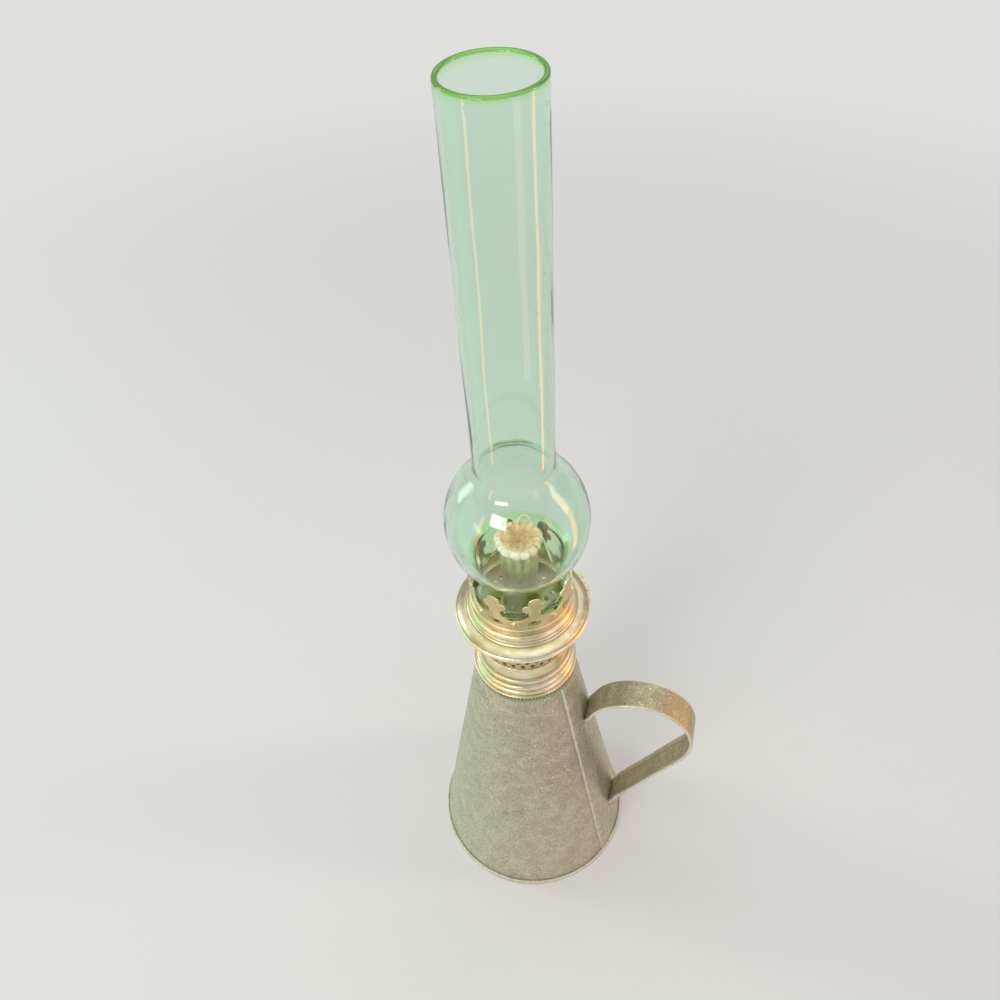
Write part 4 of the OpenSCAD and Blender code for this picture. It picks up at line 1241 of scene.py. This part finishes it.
@dataclass(frozen=True)
class Chimney:
    """Blown glass chimney: foot with a bead, bulb and straight flue with a fire-polished rim."""

    foot_z: float = 183.6
    foot_r: float = 18.3
    top_z: float = 374.3
    flue_r: float = 14.0
    wall: float = 1.6
    bead: float = 1.05
    bulb: tuple = (-4.8, 219.1)
    bulb_curve: float = 30.8
    fillets: tuple = (3.0, 7.0)
    meeting: float = 16.4

    def fillet(self, wall_r: float, radius: float, side: int) -> tuple[tuple, float]:
        """Centre of an arc that touches a straight wall and the bulb, and the bulb's angle there.

        The centre lies radius off the wall and bulb_curve + radius from the bulb's own centre, so
        its height follows from Pythagoras; side is 1 above the bulb and -1 below it.
        """
        across = wall_r + radius - self.bulb[0]
        up = side * math.sqrt((self.bulb_curve + radius) ** 2 - across**2)
        return (wall_r + radius, self.bulb[1] + up), math.degrees(math.atan2(up, across))

    def outer(self) -> Grid:
        """Outline of the outside, upwards: foot, small fillet, bulb, large fillet, flue."""
        low, top = self.fillets
        low_c, low_a = self.fillet(self.foot_r, low, -1)
        top_c, top_a = self.fillet(self.flue_r, top, 1)
        return np.concatenate([
            line((self.foot_r, self.foot_z + self.bead), (self.foot_r, low_c[1] - 0.1), 8),
            arc(low_c, low, 180.0, 180.0 + low_a, 10),
            arc(self.bulb, self.bulb_curve, low_a, top_a, 64)[1:],
            arc(top_c, top, 180.0 + top_a, 180.0, 18)[1:],
            line((self.flue_r, top_c[1] + 1), (self.flue_r, self.top_z - self.wall / 2 - 0.2), 70),
        ])

    def surface(self) -> Surface:
        """The glass, as one closed wall between its outside and its inside."""
        outside, half = self.outer(), self.wall / 2
        inside = (outside + self.wall * leftwards(outside))[::-1]
        foot = arc((self.foot_r - self.bead, self.foot_z + self.bead), self.bead, 150.0, 360.0, 16)
        top = arc((self.flue_r - half, self.top_z - half), half, 0.0, 180.0, 12)
        outline = np.concatenate([foot, outside[1:], top, inside[:-1]])

        def change(r: Grid, z: Grid, a: Grid) -> tuple:
            """Gives blown glass its slow waves, less on the outside, which keeps its size."""
            outer = smooth(1.3, 0.5, np.interp(z, outside[:, 1], outside[:, 0]) - r)
            body = smooth(188.0, 200.0, z) * smooth(372.0, 362.0, z)
            wave = (np.sin(2 * a + z * 0.021) + 0.6 * np.sin(5 * a - z * 0.05)
                    + 0.5 * np.sin(9 * a + z * 0.11))
            shift = 0.03 * (wave - 2.1) * outer + 0.06 * wave * (1 - outer)
            return r + body * shift, z

        def paint(r: Grid, z: Grid, a: Grid) -> dict:
            """Deeper green at the polished rim, down the foot and where it meets the bulb."""
            # The deeper, less clear green at the rim, foot and meeting is partly the thick glass's
            # own colour and partly painted light running along the wall.
            meeting = self.foot_z + self.meeting
            deep = (0.7 * smooth(self.top_z - 3.4, self.top_z - 1.2, z)
                    + 0.6 * smooth(meeting + 2.5, meeting - 0.5, z)
                    + 0.4 * smooth(self.foot_z + 3.0, self.foot_z + 1.0, z))
            lip = smooth(self.top_z - 1.1, self.top_z - 0.6, z)
            ring = smooth(0.9, 0.4, np.abs(z - meeting))
            return {"wear": np.clip(deep, 0, 1), "grime": np.clip(lip + 0.4 * ring, 0, 1)}

        return turned(outline, 224, change, paint)


# The whole lamp


@dataclass(frozen=True)
class Lamp:
    """All the pieces of the lamp."""

    finishes: Finishes

    def build_font(self) -> None:
        """Cone, bottom, handle, solder and collar."""
        font, f, body = Font(), self.finishes, Body.FONT
        make_piece("font_shell", font.cone(), f.zinc, "font_cone", body)
        make_piece("font_foot", font.bottom(), f.rim, "font_bottom", body)
        make_piece("strap", Handle(font).surface(), f.handle, "handle", body)
        beads = (SolderBead(font, 91.0, 97.2, seed=2),
                 SolderBead(font, 19.2, 25.0, drip=1.0, seed=5))
        solder = joined([bead.surface() for bead in beads])
        make_piece("solder_beads", solder, f.solder, "handle_solder", body, sharp=80.0)
        make_piece("collar", Collar().surface(), f.brass, "font_collar", body)

    def build_burner(self) -> None:
        """Neck, basket, flange, crown and everything inside them."""
        f, body = self.finishes, Body.BURNER
        make_piece("neck", Neck().surface(), f.brass, "burner_neck", body)
        make_piece("flange", Flange().surface(), f.brass, "gallery_flange", body)
        Dressed("gallery_crown", body, Slot.BRASS, highlight_cut_edges=True).build(f.crown)
        Dressed("burner_basket", body, Slot.DULL, highlight_cut_edges=True).build(f.dull)
        plain = (
            (body, Slot.BRASS, f.brass, ("wick_tube", "draft_tube", "air_duct", "spindle_bush")),
            (body, Slot.DULL, f.dull, ("burner_floor", "air_plate", "raiser_housing")),
            (Body.GEAR, Slot.DULL, f.dull, ("star_wheels",)),
            (Body.GEAR, Slot.BRASS, f.brass, ("wick_spindle", "thumbwheel", "spindle_rivet")),
        )
        for rides, slot, material, nodes in plain:
            for node in nodes:
                Dressed(node, rides, slot).build(material)

    def build_wick(self) -> None:
        """The hanging wick, its spread end and its loose threads."""
        cotton, top = self.finishes.cotton, WickTop()
        Dressed("wick", Body.WICK, Slot.COTTON).build(cotton)
        rosette = make_piece("wick_rosette", top.surface(), cotton, "wick_top",
                             sharp=70.0)
        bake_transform(rosette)
        make_piece("wick_threads", top.threads(), cotton, body=Body.WICK, sharp=80.0)

    def build_chimney(self) -> None:
        """The glass chimney, which lets the studio's light through to the burner."""
        surface, material = Chimney().surface(), self.finishes.glass
        glass = make_piece("glass_chimney", surface, material, "chimney", Body.CHIMNEY)
        glass.visible_shadow = False


@dataclass(frozen=True)
class Studio:
    """Camera, lights, floor and surroundings.

    The eye is the camera's place before it is turned about Z; the lights face aim, in metres.
    """

    turn: float = 16.0
    eye: tuple = (0.0, -220.55, 465.54)
    pitch: float = 47.02
    yaw: float = -1.43
    roll: float = -4.47
    lens: float = 33.84
    sensor: float = 36.0
    clip: tuple = (0.01, 50.0)
    aim: tuple = (0.0, 0.0, 0.17)
    card_top: float = 0.32
    floor_half: float = 6.0
    floor_colour: Colour = (0.86, 0.855, 0.845)
    backdrop: Colour = (0.74, 0.742, 0.732)
    sky: Colour = (0.80, 0.82, 0.84)
    sky_strength: float = 0.32

    def camera(self) -> None:
        """Sets the camera, which looks down on the lamp from the front.

        It is rolled about its view, pitched down from the horizon, yawed, moved out to the eye
        and at last turned about the lamp.
        """
        turns = ((self.turn, "Z"), (-self.yaw, "Z"), (90.0 - self.pitch, "X"), (self.roll, "Z"))
        about, yaw, tilt, roll = (Matrix.Rotation(math.radians(a), 4, axis) for a, axis in turns)
        data = bpy.data.cameras.new("camera")
        data.lens, data.sensor_width = self.lens, self.sensor
        data.clip_start, data.clip_end = self.clip
        camera = add_object("camera", data)
        camera.matrix_world = about @ Matrix.Translation(Vector(self.eye) * MM) @ yaw @ tilt @ roll
        bpy.context.scene.camera = camera

    def light(self, name: str, place: tuple, size: tuple, power: float, colour: Colour) -> None:
        """Adds a rectangular soft light.

        Args:
            name: its name.
            place: its middle in metres.
            size: its width and height.
            power: watts.
            colour: its colour.
        """
        data = bpy.data.lights.new(name, "AREA")
        data.shape, data.size, data.size_y = "RECTANGLE", *size
        data.energy, data.color = power, colour
        lamp = add_object(name, data)
        lamp.location = place
        towards = Vector(self.aim) - Vector(place)
        lamp.rotation_euler = towards.to_track_quat("-Z", "Y").to_euler()

    def lights(self) -> None:
        """A broad light overhead, a key in front and weaker ones at the sides and behind."""
        self.light("top", (0.0, 0.10, 1.30), (1.5, 1.4), 6.5, (1.0, 0.99, 0.96))
        self.light("key", (-0.35, -1.1, 0.75), (0.55, 0.35), 5.6, (1.0, 0.98, 0.94))
        self.light("left", (-1.0, 0.15, 0.55), (0.25, 0.9), 2.4, (0.86, 1.0, 0.90))
        self.light("right", (1.0, 0.25, 0.60), (0.16, 0.9), 2.0, (1.0, 0.88, 0.74))
        self.light("back", (0.15, 1.2, 1.0), (0.9, 0.4), 1.2, (1.0, 0.95, 1.0))

    def panel(self, name: str, corners: list, material: Material) -> Object:
        """Adds a flat panel with four corners in metres."""
        mesh = bpy.data.meshes.new(name)
        mesh.from_pydata(corners, [], [(0, 1, 2, 3)])
        mesh.materials.append(material)
        panel = add_object(name, mesh)
        return panel

    def card(self, name: str, az: float, away: float, width: float, low: float, colour: Colour,
             strength: float) -> None:
        """Adds an upright card that only shows in reflections.

        Args:
            name: its name.
            az: its direction from the lamp in degrees.
            away: its distance in metres.
            width: its width in metres.
            low: height of its lower edge in metres.
            colour: its colour.
            strength: how brightly it glows.
        """
        a = math.radians(az)
        middle = np.array([away * math.cos(a), away * math.sin(a)])
        side = np.array([-math.sin(a), math.cos(a)]) * width / 2
        near, far = middle - side, middle + side
        corners = [(*near, low), (*far, low), (*far, self.card_top), (*near, self.card_top)]
        values = {"Base Color": BLACK, "Specular IOR Level": 0.0, "Roughness": 1.0,
                  "Emission Color": colour, "Emission Strength": strength}
        card = self.panel(name, corners, Graph(name).shaded(values))
        card.visible_camera = card.visible_diffuse = False
        card.visible_transmission = card.visible_shadow = False

    def cards(self) -> None:
        """Coloured cards whose streaks run down the glass."""
        self.card("card_orange", 10.0, 0.21, 0.032, 0.05, (1.0, 0.40, 0.08), 5.5)
        self.card("card_rose", -28.0, 0.24, 0.065, 0.10, (1.0, 0.60, 0.74), 2.4)
        self.card("card_tan", -131.0, 0.22, 0.022, 0.05, (1.0, 0.55, 0.22), 5.0)
        self.card("card_green", -160.0, 0.24, 0.12, 0.05, (0.55, 1.0, 0.66), 1.2)

    def floor(self) -> None:
        """Adds the plain pale floor, which fades into the backdrop's colour away from the lamp."""
        g = Graph("floor")
        shade = g.patch(Patch(260.0, 0.3, 0.7, to=(0.0, 0.10)))
        colour = g.layered(self.floor_colour, (shade, tuple(0.97 * c for c in self.floor_colour)))
        away = g.add("ShaderNodeVectorMath", {0: g.place}, operation="LENGTH").outputs["Value"]
        rays = g.add("ShaderNodeLightPath").outputs
        seen = g.maths("MAXIMUM", rays["Is Camera Ray"], rays["Is Glossy Ray"])
        seen = g.maths("MAXIMUM", seen, rays["Is Transmission Ray"])
        share = g.times(seen, g.span(away, 0.30, 0.95))
        material = g.shaded({"Base Color": g.layered(colour, (share, BLACK)), "Roughness": 0.85,
                             "Specular IOR Level": 0.0, "Emission Color": self.backdrop,
                             "Emission Strength": share})
        s = self.floor_half
        self.panel("floor", [(-s, -s, 0), (s, -s, 0), (s, s, 0), (-s, s, 0)], material)

    def surroundings(self) -> None:
        """Sets the world: an even soft light, seen as a paler backdrop and through the glass."""
        g = Graph("surroundings", bpy.data.worlds)
        soft = g.tree.nodes["Background"]
        g.feed(soft.inputs[0], self.sky)
        g.feed(soft.inputs[1], self.sky_strength)
        seen = g.add("ShaderNodeBackground", {0: self.backdrop})
        rays = g.add("ShaderNodeLightPath").outputs
        either = g.maths("MAXIMUM", rays["Is Camera Ray"], rays["Is Transmission Ray"])
        inputs = {0: either, 1: soft.outputs[0], 2: seen.outputs[0]}
        mix = g.add("ShaderNodeMixShader", inputs)
        g.feed(g.tree.nodes["World Output"].inputs[0], mix.outputs[0])
        bpy.context.scene.world = g.owner

    def build(self) -> None:
        """Sets up everything round the lamp."""
        self.camera()
        self.lights()
        self.cards()
        self.floor()
        self.surroundings()
        bpy.context.scene.view_settings.view_transform = "Standard"


def main() -> None:
    """Builds the lamp's looks and the studio in order."""
    logging.basicConfig(level=logging.INFO, format="%(message)s")
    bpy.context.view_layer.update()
    LOG.info("finishes")
    lamp = Lamp(Finishes.build())
    LOG.info("font")
    lamp.build_font()
    LOG.info("burner")
    lamp.build_burner()
    LOG.info("wick and chimney")
    lamp.build_wick()
    lamp.build_chimney()
    LOG.info("studio")
    Studio().build()


if __name__ == "__main__":
    main()
